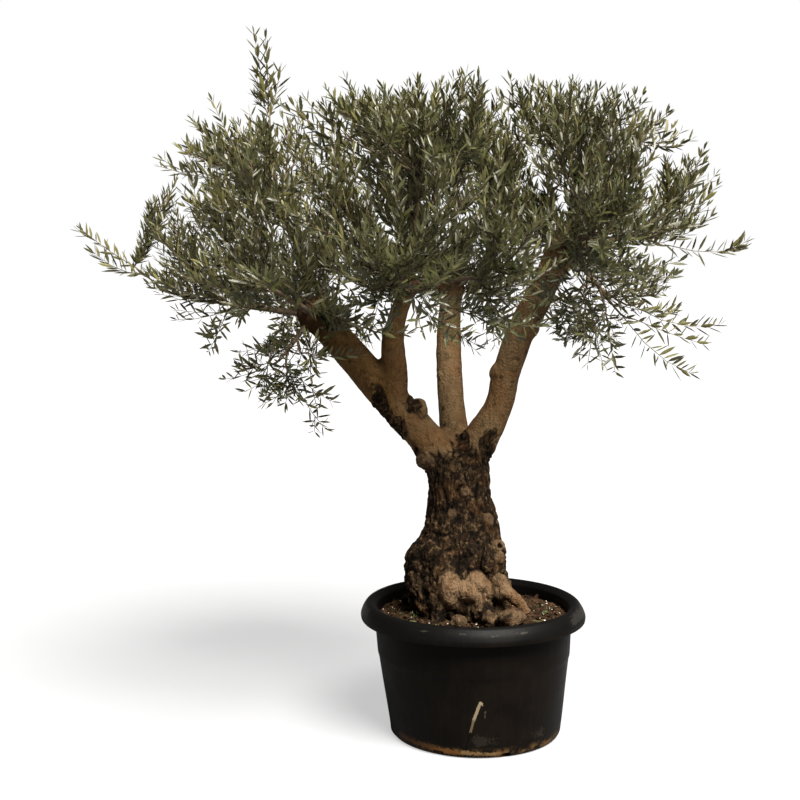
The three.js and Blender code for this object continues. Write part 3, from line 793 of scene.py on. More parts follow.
@dataclass(frozen=True)
class PotFinish(Finish):
    """Worn black nursery plastic with dust, scuffs, a split with a pale edge, lime along its foot, and a
    painted highlight on the rim's two ends.
    """

    black: Colour = tint(7, 5, 3)
    dusty: Colour = tint(17, 12, 8)
    lime: Colour = tint(78, 58, 34)
    rim_black: Colour = tint(7, 7, 7)
    foot: float = 12  # the lime is thickest below this
    lime_top: float = 44  # and gone above this
    rim: tuple[float, float] = (391, 407)  # the rim's own black comes in between these
    marks: tuple[Mark, ...] = (
        # the pale scratch, the split below it and the scuff beside them
        Mark((26, -303, 192), (6, -296, 134), 5.4, tint(112, 100, 80), 1.0, 0.3),
        Mark((26, -303, 192), (32, -300, 186), 5.4, tint(116, 105, 86), 1.0, 0.3),
        Mark((6, -296, 134), (-4, -292, 92), 4.2, tint(80, 70, 52), 0.9, 0.35),
        Mark((42, -297, 162), (40, -293, 140), 3.5, tint(60, 54, 42), 0.7, 0.4),
        Mark((-4, -292, 90), (-26, -283, 8), 3.0, tint(5, 4, 3), 1.0, 0.4),
        Mark((20, -284, 62), (210, -190, 64), 20.0, tint(33, 30, 24), 0.55, 0.6),
        # the rim's light scuffs, then the painted highlight on its left and right ends
        Mark((-160, -326, 426), (-20, -362, 426), 2.0, tint(60, 55, 49), 0.35),
        Mark((60, -360, 420), (170, -322, 424), 2.4, tint(64, 59, 53), 0.4),
        # painted highlight: a broad grey sheen where the rolled rim turns away at its two ends
        Mark((330, -180, 426), (371, 20, 424), 17.0, tint(42, 40, 38), 0.5, 0.9),
        Mark((-352, -120, 426), (-371, 20, 424), 17.0, tint(42, 40, 38), 0.5, 0.9),
        # the rusty lime along the foot, and a scrape on the side
        Mark((150, -242, 50), (214, -190, 58), 4.0, tint(104, 88, 58), 0.6),
        Mark((-26, -282, 22), (84, -272, 16), 8.0, tint(104, 82, 52), 0.75, 0.5),
        Mark((84, -272, 16), (190, -208, 22), 7.0, tint(74, 54, 30), 0.7, 0.9),
        Mark((-130, -252, 20), (-50, -279, 20), 9.0, tint(92, 60, 28), 0.7, 0.9),
        Mark((-240, -150, 30), (-120, -256, 26), 9.0, tint(70, 46, 24), 0.7, 1.1),
        Mark((300, -70, 150), (312, -60, 260), 6.0, tint(44, 40, 33), 0.6, 1.3),
    )
    rough: float = 0.5
    shine: float = 0.06

    def paint(self, s: Surface) -> None:
        """Colour the wall, its limed foot and its rim, and lay the marks over them: wear and the painted rim
        highlights.
        """
        z = s.add("SeparateXYZ", {0: s.place}).outputs["Z"]
        dust = s.lay(Effect.MOTTLE, size=0.12, low=0.38, high=0.72)
        streak = s.lay(Effect.STREAKS, size=0.02, length=9.0)
        colour = s.coats(self.black, (dust["Mask"], 0.45, self.dusty), (streak["Mask"], 0.3, self.dusty))
        low = s.plus(s.ramp(z, self.lime_top * MM, self.foot * MM), -0.05)
        limed = s.times(low, s.spots(0.045, 0.47, 0.6), kept=True)
        on_rim = s.ramp(z, self.rim[0] * MM, self.rim[1] * MM)
        colour = s.coats(s.mix(limed, colour, self.lime), (on_rim, 0.7, self.rim_black))
        for mark in self.marks:
            colour = s.mix(mark.lay(s), colour, mark.colour)
        s.put("Base Color", colour)
        rough = s.plus(s.times(dust["Height"], 0.35), s.times(limed, 0.35))
        s.put("Roughness", s.plus(rough, self.rough - 0.2, kept=True))
        grit = s.lay(Effect.GRIT, size=0.0022)["Height"]
        s.bump(s.plus(s.times(grit, 0.35), streak["Height"]), 0.35, 0.002)


@dataclass(frozen=True)
class EarthFinish(Finish):
    """Damp soil: dark crumbs with paler grit and woody scraps."""

    damp: Colour = tint(36, 26, 18)
    dry: Colour = tint(64, 48, 32)
    rough: float = 0.95
    shine: float = 0.05

    def paint(self, s: Surface) -> None:
        """Colour damp soil with dry patches and crumbs."""
        crumbs = s.lay(Effect.GRIT, size=0.006)
        damp = s.mix(s.spots(0.07, 0.4, 0.66), self.damp, self.dry)
        s.put("Base Color", s.coats(damp, (crumbs["Specks"], 0.4, self.dry)))
        s.bump(crumbs["Height"], 0.9, 0.005)


CHIP_FINISH = TwigFinish("bark_scraps", 0.9, 0.05, tint(26, 18, 12), tint(60, 44, 29))
GRIT_FINISH = TwigFinish("pale_grit", skin=tint(150, 140, 122), patch=tint(206, 200, 186))
# the weeds' and the fallen leaves'
LITTER_FINISHES = (
    LeafFinish("weed_leaf", above=tint(66, 72, 40), below=tint(84, 88, 56)),
    LeafFinish("dry_leaf", above=tint(98, 78, 48), below=tint(124, 106, 76)),
)
# the branches' and the thin stalks'
TWIG_FINISHES = (
    TwigFinish("twig_skin", skin=tint(66, 52, 36), patch=tint(98, 84, 62)),
    TwigFinish("young_stalk", 0.6, skin=tint(104, 96, 64), patch=tint(134, 126, 90)),
)
# the leaf colours, from dark to pale: darker and paler copies of one leaf, dealt out so that they paint in
# shade and light
LEAF_FINISHES = (
    LeafFinish("leaf_deep", above=tint(44, 47, 21), below=tint(94, 91, 54)),
    LeafFinish("leaf_olive", above=tint(108, 105, 50), below=tint(152, 146, 88)),
    LeafFinish("leaf_sage", above=tint(170, 162, 90), below=tint(200, 190, 124)),
    LeafFinish("leaf_silver", above=tint(220, 209, 138), below=tint(234, 223, 160)),
    LeafFinish("leaf_young", above=tint(214, 199, 102), below=tint(228, 212, 130)),
)
# how often a shoot takes each finish, in the crown's heart and at its edge: the dark finishes gather in the
# heart as painted shade, the pale ones at the edge as painted light
INNER_SHARES = np.array([0.5, 0.27, 0.13, 0.05, 0.05])
OUTER_SHARES = np.array([0.2, 0.26, 0.22, 0.16, 0.16])


# ---------------------------------------------------------------- the trunk and boughs


@dataclass(frozen=True)
class Bough:
    """One tapering limb along a smooth path, with a radius at each of the path's points."""

    path: tuple[Point, ...]
    radii: tuple[float, ...]

    def points(self) -> Array:
        """Return the path's points, one a row."""
        return np.array(self.path, float)

    def line(self, steps: int) -> Arrays:
        """Return points along the path and the radius at each, in equal steps."""
        shares = np.linspace(0, 1, steps + 1)
        line = along_curve(self.points(), shares)
        radii = np.interp(shares, np.linspace(0, 1, len(self.radii)), self.radii)
        return line, radii

    def head(self) -> Array:
        """Return the middle of the pollard head."""
        return self.points()[-1]


BOUGHS = {
    "left_bough": Bough(
        ((-95, -2, 905), (-178, -12, 1012), (-290, -32, 1136), (-402, -86, 1276), (-508, -138, 1396)),
        (64, 57, 57, 53, 44),
    ),
    "centre_bough": Bough(
        ((-52, 30, 900), (-70, 92, 1045), (-81, 146, 1160), (-86, 216, 1310), (-80, 286, 1462)),
        (54, 46, 45, 43, 36),
    ),
    "right_bough": Bough(
        ((-24, 4, 905), (76, 10, 1078), (104, 18, 1190), (157, 20, 1347), (208, 10, 1444), (287, -8, 1616)),
        (66, 46, 46, 47, 47, 44),
    ),
    "upright_bough": Bough(
        ((-262, -30, 1112), (-258, -70, 1228), (-258, -112, 1312), (-238, -160, 1400), (-200, -208, 1496)),
        (50, 44, 37, 29, 28),
    ),
}


@dataclass(frozen=True)
class Lump:
    """Old wood that stands out of the trunk: its middle, its half-sizes and how bare its skin is."""

    place: Point
    half: Point  # across, out and up
    bare: float = 0.0  # 1 where it is smooth, pale wood
    bumps: float = 0.12


@dataclass(frozen=True)
class Swelling:
    """A burl or healed stub: its place round and up the trunk, and its half-sizes."""

    turn: float  # degrees round from +X
    height: float  # above the foot
    out: float  # from the trunk's middle
    half: Point  # across, out and up
    bare: float = 0.0
    bumps: float = 0.14

    def lump(self, middle: Array) -> Lump:
        """Place the swelling round the trunk's middle at its height."""
        turn = math.radians(self.turn)
        place = middle + np.array([math.cos(turn), math.sin(turn), 0.0]) * self.out
        return Lump(tuple(place), self.half, self.bare, self.bumps)


@dataclass(frozen=True)
class Knob:
    """A small healed knot: its rough place on the bark, its radius, its rise and the depth of its hole."""

    place: Point
    radius: float
    rise: float = 8.0
    hole: float = 0.0
    bare: float = 0.8


@dataclass(frozen=True)
class Root:
    """A root that shows above the soil: its direction, where it leaves, its reach and its radius."""

    turn: float  # degrees round from +X
    height: float  # above the foot
    reach: float
    radius: float
    bare: float = 0.0

    def line(self, middle: Array, foot: float) -> Arrays:
        """Lay the root from the trunk's side down into the soil.

        Args:
            middle: the trunk's middle where the root leaves.
            foot: the height of the trunk's foot.

        Returns:
            Points along the root and the radius at each.
        """
        turn = math.radians(self.turn)
        out = np.array([math.cos(turn), math.sin(turn), 0.0])
        base = np.array([middle[0], middle[1], foot])
        ways = (70, 135, self.reach * 0.82, self.reach)
        rises = (self.height + 20, self.height, self.radius * 0.5, -self.radius)
        path = np.array([base + out * way + UP * rise for way, rise in zip(ways, rises)])
        shares = np.linspace(0, 1, 15)
        line = along_curve(path, shares)
        radii = np.interp(shares, [0, 0.33, 0.67, 1], [1.5, 1.15, 0.85, 0.5]) * self.radius
        return line, radii * (1 + 0.12 * lumps(line, 40, 7.7))


@dataclass
class Wood:
    """The trunk with its burls, roots and boughs, as one mesh with the bark's relief."""

    foot: float = 404.3
    # height, centre x, centre y, half-width along x, half-width along y
    rings: tuple[tuple[float, ...], ...] = (
        (0, -47, -4, 148, 142),
        (70, -55, -6, 162, 150),
        (150, -56, -6, 165, 150),
        (215, -48, -4, 152, 138),
        (270, -36, 0, 127, 118),
        (325, -36, 2, 115, 106),
        (375, -42, 3, 104, 98),
        (440, -47, 4, 99, 95),
        (490, -57, 8, 108, 96),
        (535, -62, 14, 104, 82),
        (562, -60, 18, 58, 48),
    )
    lobes: int = 5
    lobe_depth: float = 0.055
    swell: float = 1.16  # of a pollard head
    knuckles: int = 6  # round a pollard head
    swellings: tuple[Swelling, ...] = (
        Swelling(-160, 104, 132, (38, 34, 36)),
        Swelling(-22, 190, 122, (38, 34, 50)),
        Swelling(-42, 300, 92, (28, 26, 36)),
        Swelling(-150, 515, 110, (34, 34, 32), 0.35),
        Swelling(175, 170, 118, (52, 50, 74)),
        Swelling(118, 90, 112, (60, 44, 66)),
        Swelling(62, 130, 106, (54, 42, 60), 0.4),
        Swelling(20, 66, 126, (50, 40, 58)),
    )
    lumps_in_front: tuple[Lump, ...] = (
        Lump((-72, -146, 512), (35, 44, 58), 1.0, 0.07),
        Lump((-30, -150, 512), (30, 38, 32), 1.0, 0.05),
        Lump((12, -140, 532), (34, 42, 36), 1.0, 0.07),
        Lump((-6, -152, 508), (34, 38, 32), 1.0, 0.05),
        Lump((20, -154, 478), (17, 28, 42), 1.0, 0.08),
        Lump((48, -136, 510), (18, 28, 34), 0.9, 0.1),
        Lump((92, -104, 530), (25, 34, 26), 0.7, 0.14),
        Lump((94, -112, 496), (30, 34, 24), 0.8, 0.16),
        Lump((70, -56, 610), (30, 40, 54), 0.0, 0.25),
        Lump((122, -192, 436), (50, 36, 26), 0.5, 0.26),
        Lump((52, -190, 430), (24, 28, 26), 0.25, 0.26),
        Lump((-42, -200, 420), (30, 26, 20), 0.4, 0.24),
        Lump((-172, -88, 519), (28, 28, 26), 0.2, 0.2),
        Lump((-122, -132, 474), (22, 24, 20), 0.2, 0.26),
        Lump((-112, -122, 566), (30, 26, 46), 0.0, 0.3),
        Lump((-132, -98, 622), (32, 28, 38), 0.0, 0.3),
        Lump((40, -112, 604), (30, 26, 48), 0.0, 0.3),
        Lump((-20, -132, 628), (36, 18, 44), 0.0, 0.3),
        Lump((-176, -44, 1082), (30, 30, 36), 0.0, 0.2),
        Lump((-298, -62, 1182), (20, 40, 46), 0.0, 0.2),
        Lump((92, 14, 1200), (40, 40, 40), 0.0, 0.16),
        Lump((170, 12, 1352), (46, 46, 46), 0.0, 0.16),
    )
    roots: tuple[Root, ...] = (
        Root(-30, 80, 205, 26, 0.5),
        Root(-58, 60, 236, 34),
        Root(-112, 46, 196, 26),
        Root(152, 70, 214, 30),
        Root(62, 64, 206, 28, 0.3),
    )
    knobs: tuple[Knob, ...] = (
        Knob((-24, -95, 821), 16, 8, 0.35, 0.6),
        Knob((-69, -92, 751), 13, 6, 0.2, 0.35),
        Knob((-50, -95, 822), 12, -9, 0.0, 0.0),
        Knob((58, -80, 732), 21, 9, 0.4, 0.45),
        Knob((85, -80, 645), 20, 10, 0.9, 0.7),
        Knob((92, -90, 606), 19, 9, 0.0, 0.6),
        Knob((-120, -60, 700), 18, 7, 0.5, 0.1),
        Knob((-60, 104, 780), 20, 8, 0.5, 0.4),
        Knob((-150, 60, 640), 22, 9, 0.7, 0.3),
        Knob((40, 110, 690), 18, 7, 0.0, 0.4),
        Knob((-98, 26, 1010), 17, 6, 0.6, 0.0),
        Knob((-330, -68, 1180), 18, 5, 0.6, 0.0),
        Knob((128, -26, 1225), 15, 4, 0.4, 0.0),
        Knob((-118, 130, 1180), 13, 4, 0.5, 0.0),
    )
    # middle and half-sizes of the rough bark that reaches up between the boughs
    rough_places: tuple[tuple[Point, Point], ...] = (
        ((-40, -60, 955), (20, 70, 74)),
        ((4, -70, 915), (40, 60, 40)),
        ((-300, -50, 1090), (26, 70, 60)),
        ((-246, -50, 1020), (30, 70, 34)),
        ((-190, -70, 1102), (16, 40, 22)),
        ((52, -40, 972), (22, 60, 40)),
    )
    # low roots that run over the soil
    runners: tuple[Bough, ...] = (
        Bough(((92, -124, 512), (122, -136, 494), (150, -142, 472), (180, -150, 440)), (24, 19, 16, 14)),
    )
    rough_voxel: float = 7.0
    fine_voxel: float = 4.4

    def middle(self, height: float) -> Array:
        """Return the trunk's middle at a height above its foot."""
        rings = np.array(self.rings)
        x, y = (np.interp(height, rings[:, 0], rings[:, k]) for k in (1, 2))
        return np.array([x, y, self.foot + height])

    def all_lumps(self) -> list[Lump]:
        """Return the lumps in front and the swellings round the trunk."""
        return [*self.lumps_in_front, *(s.lump(self.middle(s.height)) for s in self.swellings)]

    def build(self) -> Piece:
        """Build the bark's mesh, with the numbers that its finish reads."""
        body = self._body()
        self._remesh(body, self.rough_voxel, smooth=10)
        shape, old = Shape(), body.data
        old.calc_loop_triangles()
        corners = np.empty(len(old.loop_triangles) * 3, np.int32)
        old.loop_triangles.foreach_get("vertices", corners)
        shape.add(places_of(old), corners)
        for lump in self.all_lumps():
            across, out, up = lump.half
            turn = math.atan2(lump.place[1], lump.place[0] + 50)
            shape.add(*ball(np.array(lump.place), (out, across, up), turn, lump.bumps))
        for root in self.roots:
            line, radii = root.line(self.middle(root.height), self.foot)
            shape.add(*limb(line, radii, 20))
        for runner in self.runners:
            line, radii = runner.line(14)
            shape.add(*limb(line, radii * (1 + 0.1 * lumps(line, 30, 3.3)), 20))
        bpy.data.objects.remove(body)
        bpy.data.meshes.remove(old)
        bark = shape.build("bark")
        self._remesh(bark, self.fine_voxel, smooth=5)
        self._relief(bark.data)
        return bark

    def _remesh(self, piece: Piece, voxel: float, smooth: int) -> None:
        """Fuse what a piece holds into one skin of small faces and smooth it."""
        remesh = piece.modifiers.new("skin", "REMESH")
        remesh.mode, remesh.voxel_size, remesh.use_smooth_shade = "VOXEL", voxel * MM, True
        soften = piece.modifiers.new("soften", "SMOOTH")
        soften.factor, soften.iterations = 0.5, smooth
        settle(piece)

    def _body(self) -> Piece:
        """Build the shaft and the boughs, before they are fused."""
        shape = Shape()
        rings = np.array(self.rings, float)
        levels, sides = 48, 64
        turn = np.arange(sides) / sides * FULL_TURN
        top = rings[-1, 0]
        shaft = []
        for share in np.linspace(0, 1, levels):
            height, x, y, half_x, half_y = on_curve(rings, share)
            swell = 1 + self.lobe_depth * (1 - height / top) * np.cos(self.lobes * turn + height / 90)
            across, along = np.cos(turn) * half_x * swell, np.sin(turn) * half_y * swell
            shaft.append(np.stack([x + across, y + along, np.full(sides, self.foot + height)], 1))
        shape.add(np.vstack(shaft), rows_of_rings(1, levels, sides))
        for bough in BOUGHS.values():
            line, radii = bough.line(36)
            radii = radii * (1 + 0.05 * lumps(line, 90, 5.2))
            radii[-4:] *= np.linspace(1.03, self.swell, 4)
            shape.add(*limb(line, radii, 28))
            self._add_head(shape, bough)
        return shape.build("bark_body")

    def _add_head(self, shape: Shape, bough: Bough) -> None:
        """Add the knuckles of a pollard head round a bough's tip."""
        tip, radius = bough.head(), bough.radii[-1] * self.swell
        along = heading_on(bough.points(), 1.0)
        across = square_to(np.array([1.0, 0.3, 0.2]), along)
        other = np.cross(along, across)
        shape.add(*ball(tip + along * radius * 0.1, [radius * 0.98] * 3, bumps=0.1))
        for k in range(self.knuckles):
            turn = k * GOLDEN_ANGLE
            out = across * math.cos(turn) + other * math.sin(turn)
            middle = tip + out * radius * 0.72 + along * radius * (0.28 - 0.11 * k)
            shape.add(*ball(middle, [radius * 0.5] * 3, bumps=0.15))

    def _bareness(self, points: Array) -> Array:
        """Work out where the wood is smooth and pale: a number for each point, 1 on bare wood."""

        def near(line: Array, radii: Array) -> Array:
            """Fall from 1 on a limb to 0 a little way off it."""
            return ease((lengths(points[:, None] - line) / radii).min(1), 1.3, 1.08)

        low = ease(points[:, 2], self.foot + 130, self.foot + 95)
        skins = [near(*runner.line(14)) * 0.9 for runner in self.runners]
        for lump in self.all_lumps():
            skins.append(lump.bare * ease(lengths((points - lump.place) / lump.half), 1.25, 1.02))
        for root in (root for root in self.roots if root.bare):
            skins.append(root.bare * near(*root.line(self.middle(root.height), self.foot)) * low)
        return np.maximum.reduce(skins)

    def _relief(self, mesh: Mesh) -> None:
        """Push the skin in and out into plates, cracks and knobs, and keep what the finish reads."""
        points, normals = places_of(mesh), vectors_of(mesh.vertex_normals, "vector")
        height = points[:, 2] - self.foot
        warp = np.stack([lumps(points, 60, seed) for seed in (1.0, 2.0, 3.0)], 1)
        bent = points + warp * 22
        strands = mounds(bent, (24, 24, 78), 4.0)
        flakes = mounds(bent, (12, 12, 26), 4.6)
        knots = nodules(bent, (33, 33, 38), 5.0)
        grains = mounds(points, (10, 10, 12), 8.0)
        low = ease(height + 30 * warp[:, 1], 320, 170)
        high_relief = 0.6 * strands + 0.4 * flakes
        low_relief = 0.55 * knots + 0.25 * flakes + 0.2 * grains
        relief = high_relief * (1 - low) + low_relief * low
        broad = lumps(points, 56, 6.0)
        age = ease(height + 90 * warp[:, 0] + 60 * (strands - 0.5), 620, 480)
        for place, half in self.rough_places:
            off = (bent - np.array(place)) / half + 0.4 * warp
            age = np.maximum(age, ease(lengths(off) - 0.5 * (strands - 0.5), 1.6, 0.6))
        bare = self._bareness(points)
        rough = age * (1 - 0.88 * bare)
        push = rough * ((12.0 + 7.0 * low) * (relief - 0.6) + (3.5 + 3.5 * low) * broad)
        push += (1 - age) * (1.7 * lumps(points, 36, 9.0) + 0.7 * (flakes - 0.5))
        push += bare * (2.2 * (grains - 0.6) + 3.0 * broad)
        for knob in self.knobs:
            place = nearest(points, knob.place)
            uneven = 1 + 0.35 * broad + 0.22 * (grains - 0.6)
            gap = lengths(points - place) / (knob.radius * uneven)
            on = ease(gap, 1.3, 0.9)
            dome = ease(gap, 1.25, 0.6) - 1.3 * knob.hole * ease(gap, 0.55, 0.1)
            push = push * (1 - 0.8 * on) + knob.rise * dome
            push -= 3.5 * ease(gap, 1.0, 1.35) * ease(gap, 1.8, 1.35)
            bare = np.maximum(bare, knob.bare * ease(gap, 1.25, 1.0))
            # a knob's hole counts as a deep crack, so the finish darkens it: partly the hole's own colour,
            # partly painted shade
            relief = relief * (1 - on) + on * (0.85 - knob.hole * ease(gap, 0.6, 0.3))
        push *= 1 - ease(points[:, 2], self.foot + 4, self.foot)
        move_points(mesh, points + normals * push[:, None])
        # crack: 1 where the relief lies deep; the finish darkens these hollows, partly as the bark's own
        # colour and partly as painted shade
        mark_points(mesh, "crack", 1 - relief)
        mark_points(mesh, "age", age)
        mark_points(mesh, "bare", bare)
        mark_points(mesh, "cut", self._cut(points))
        # brown: 1 on the left limbs, whose skin the finish paints browner by tone and darker as painted shade
        mark_points(mesh, "brown", ease(points[:, 0] + 60 * warp[:, 2], -130, -300))

    def _cut(self, points: Array) -> Array:
        """Work out where the pollard heads show their rusty cut wood: a number for each point."""
        cut = np.zeros(len(points))
        for bough in BOUGHS.values():
            radius = bough.radii[-1]
            tip = bough.head() + heading_on(bough.points(), 1.0) * radius * 0.5
            cut = np.maximum(cut, ease(lengths(points - tip), 2.6 * radius, 1.0 * radius))
        return cut


# ---------------------------------------------------------------- the crown


@dataclass(frozen=True)
class Mass:
    """A foliage mass: the bough whose head it springs from, and where it aims."""

    bough: str
    aim: Point


# where the masses on each bough's head aim
AIMS: dict[str, dict[str, Point]] = {
    "left_bough": {
        "left_outer": (-1, -0.1, 0.12), "left_top": (-0.3, 0.12, 1), "left_front": (-0.3, -1, 0.3),
        "left_back": (-0.45, 1, 0.35), "left_low": (-0.6, -0.42, -0.85),
    },
    "upright_bough": {
        "front_top": (0.1, -0.25, 1), "front_outer": (-0.1, -1, 0.05), "front_side": (1, -0.45, 0.1),
    },
    "centre_bough": {
        "back_top": (0.05, 0.2, 1), "back_outer": (-0.25, 1, 0.15), "back_side": (-1, 0.25, 0.25),
    },
    "right_bough": {
        "right_outer": (1, 0.1, 0.1), "right_top": (0.2, 0, 1), "right_front": (0.25, -1, 0.1),
        "right_back": (0.25, 1, 0.15), "right_inner": (-0.85, 0.35, 0.5),
        "right_low": (0.75, -0.15, -0.9),
    },
}
MASSES = {f"foliage_{name}": Mass(bough, aim) for bough, aims in AIMS.items() for name, aim in aims.items()}

# where the crown's long shoots end
LONG_SHOOTS = (
    (-1325, -20, 1628), (-1060, -60, 1590), (-690, 20, 2300), (-950, 60, 2030), (-800, -140, 1150),
    (-575, -190, 1076), (-700, -330, 1200), (-880, -60, 1290), (-420, -330, 1180), (-100, 40, 2160),
    (815, 0, 1548), (792, 60, 1370), (700, -60, 1210), (470, -120, 1215), (600, 40, 1290),
    (772, 60, 1700),
)


@dataclass(frozen=True)
class Opening:
    """A place where the crown lets the sky through, from front to back."""

    left: float
    right: float
    foot: float
    top: float
    kept: float  # the share of shoots that stay

    def holds(self, points: Array) -> Array:
        """Say of each point whether it lies in the opening."""
        x, z = points[:, 0], points[:, 2]
        return (x > self.left) & (x < self.right) & (z > self.foot) & (z < self.top)


OPENINGS = (
    Opening(-1100, -690, 1150, 1385, 0.12),
    Opening(-490, -390, 960, 1225, 0.1),
    Opening(-1260, -1030, 1370, 1740, 0.1),
    Opening(-1200, -985, 1780, 2120, 0.15),
    Opening(330, 900, 1100, 1445, 0.17),
    Opening(640, 900, 1445, 1640, 0.45),
    Opening(-330, -120, 2070, 2300, 0.35),
    Opening(-80, 50, 2085, 2300, 0.35),
    Opening(760, 900, 1640, 1960, 0.35),
    Opening(420, 760, 1560, 2060, 0.78),
)

# where each mass's long pale shoots leave the wood, and where they end; their pale finishes are painted
# light, as on sunlit shoots
PALE_SHOOTS: dict[str, tuple[tuple[Point, Point], ...]] = {
    "foliage_front_side": (
        ((90, -400, 1497), (341, -420, 1730)), ((-13, -400, 1452), (248, -460, 1565)),
        ((-58, -380, 1629), (72, -450, 1887)), ((151, -300, 1734), (8, -350, 1987)),
    ),
    "foliage_left_front": (
        ((-360, -500, 1600), (-188, -580, 1362)), ((-429, -380, 1747), (-301, -420, 2011)),
        ((-517, -400, 1659), (-655, -450, 1947)), ((-368, -400, 1776), (-148, -450, 1979)),
        ((-578, -400, 1511), (-808, -450, 1564)),
    ),
    "foliage_front_outer": (
        ((-274, -480, 1565), (-92, -550, 1452)), ((-159, -450, 1600), (-83, -500, 1856)),
    ),
    "foliage_right_front": (
        ((145, -120, 1373), (231, -200, 1495)), ((375, -300, 1748), (519, -340, 1986)),
        ((446, -200, 1645), (689, -250, 1833)), ((287, -8, 1640), (235, -200, 1700)),
        ((287, -8, 1640), (330, -210, 1680)),
    ),
    "foliage_left_outer": (
        ((-721, -250, 1661), (-869, -300, 1913)), ((-801, -250, 1562), (-974, -300, 1675)),
        ((-1000, -30, 1545), (-1240, -25, 1590)),
    ),
    "foliage_right_top": (
        ((296, -220, 1827), (254, -250, 2072)),
    ),
    "foliage_right_outer": (
        ((499, -150, 1562), (724, -200, 1703)),
    ),
    "foliage_left_top": (
        ((-560, 0, 2060), (-715, 10, 2310)), ((-545, 0, 2020), (-628, 0, 2170)),
    ),
    "foliage_right_inner": (
        ((287, -8, 1640), (215, -30, 1850)), ((287, -8, 1640), (185, 20, 1800)),
        ((287, -8, 1640), (150, -40, 1760)), ((287, -8, 1640), (235, 60, 1840)),
    ),
    "foliage_right_low": (
        ((420, -10, 1330), (696, -20, 1205)), ((520, 0, 1400), (791, 0, 1359)),
    ),
}

# the places that each mass's extra sprays reach to
THIN_PLACES: dict[str, tuple[Point, ...]] = {
    "foliage_right_low": (
        (300, -70, 1290), (250, 70, 1310), (350, 30, 1270), (225, -40, 1345), (250, -60, 1300),
        (225, -70, 1330), (262, 40, 1350),
    ),
    "foliage_right_inner": (
        (245, -20, 1800), (215, -60, 1740), (210, -50, 1660), (110, 40, 1930), (60, -60, 1880),
        (120, -120, 1800),
    ),
    "foliage_right_top": (
        (275, -70, 1810), (650, -40, 1920),
    ),
    "foliage_right_front": (
        (262, -110, 1640),
    ),
    "foliage_left_low": (
        (-616, -200, 1098), (-546, -200, 1130), (-755, -180, 1215), (-660, -150, 1150),
        (-600, -170, 1185), (-500, -200, 1200), (-470, -190, 1240), (-484, -180, 1324),
        (-620, -100, 1290),
    ),
    "foliage_left_front": (
        (-371, -200, 1388), (-337, -200, 1335), (-403, -200, 1444), (-430, -230, 1400),
    ),
    "foliage_left_outer": (
        (-782, -100, 1430), (-927, -100, 1462), (-1045, -40, 1745), (-1000, 60, 1790), (-960, 0, 1850),
        (-985, -40, 1810), (-960, -20, 1780),
    ),
    "foliage_right_outer": (
        (700, 20, 1870), (610, -20, 1850), (615, 0, 1880),
    ),
    "foliage_back_top": (
        (-60, 80, 2010), (60, 130, 1980), (0, 40, 1900),
    ),
    "foliage_back_side": (
        (110, 220, 1860),
    ),
}


@dataclass(frozen=True)
class Target:
    """A place that a twig grows to, and how slim its sprays are."""

    point: Array
    slim: float = 1.0


@dataclass(frozen=True)
class Spray:
    """A spray of leafy shoots: its root, its direction, its upper side, its length and its width."""

    root: Array
    along: Array
    flat: Array
    length: float
    width: float

    def corners(self, thickness: float, widest: float) -> Array:
        """Return the five corners of the blade that bounds the spray."""
        side = unit(np.cross(self.flat, self.along))
        waist = self.root + self.along * self.length * widest
        tip, half = self.root + self.along * self.length, side * self.width / 2
        return np.array([self.root, tip, waist + half, waist - half, waist + self.flat * thickness])


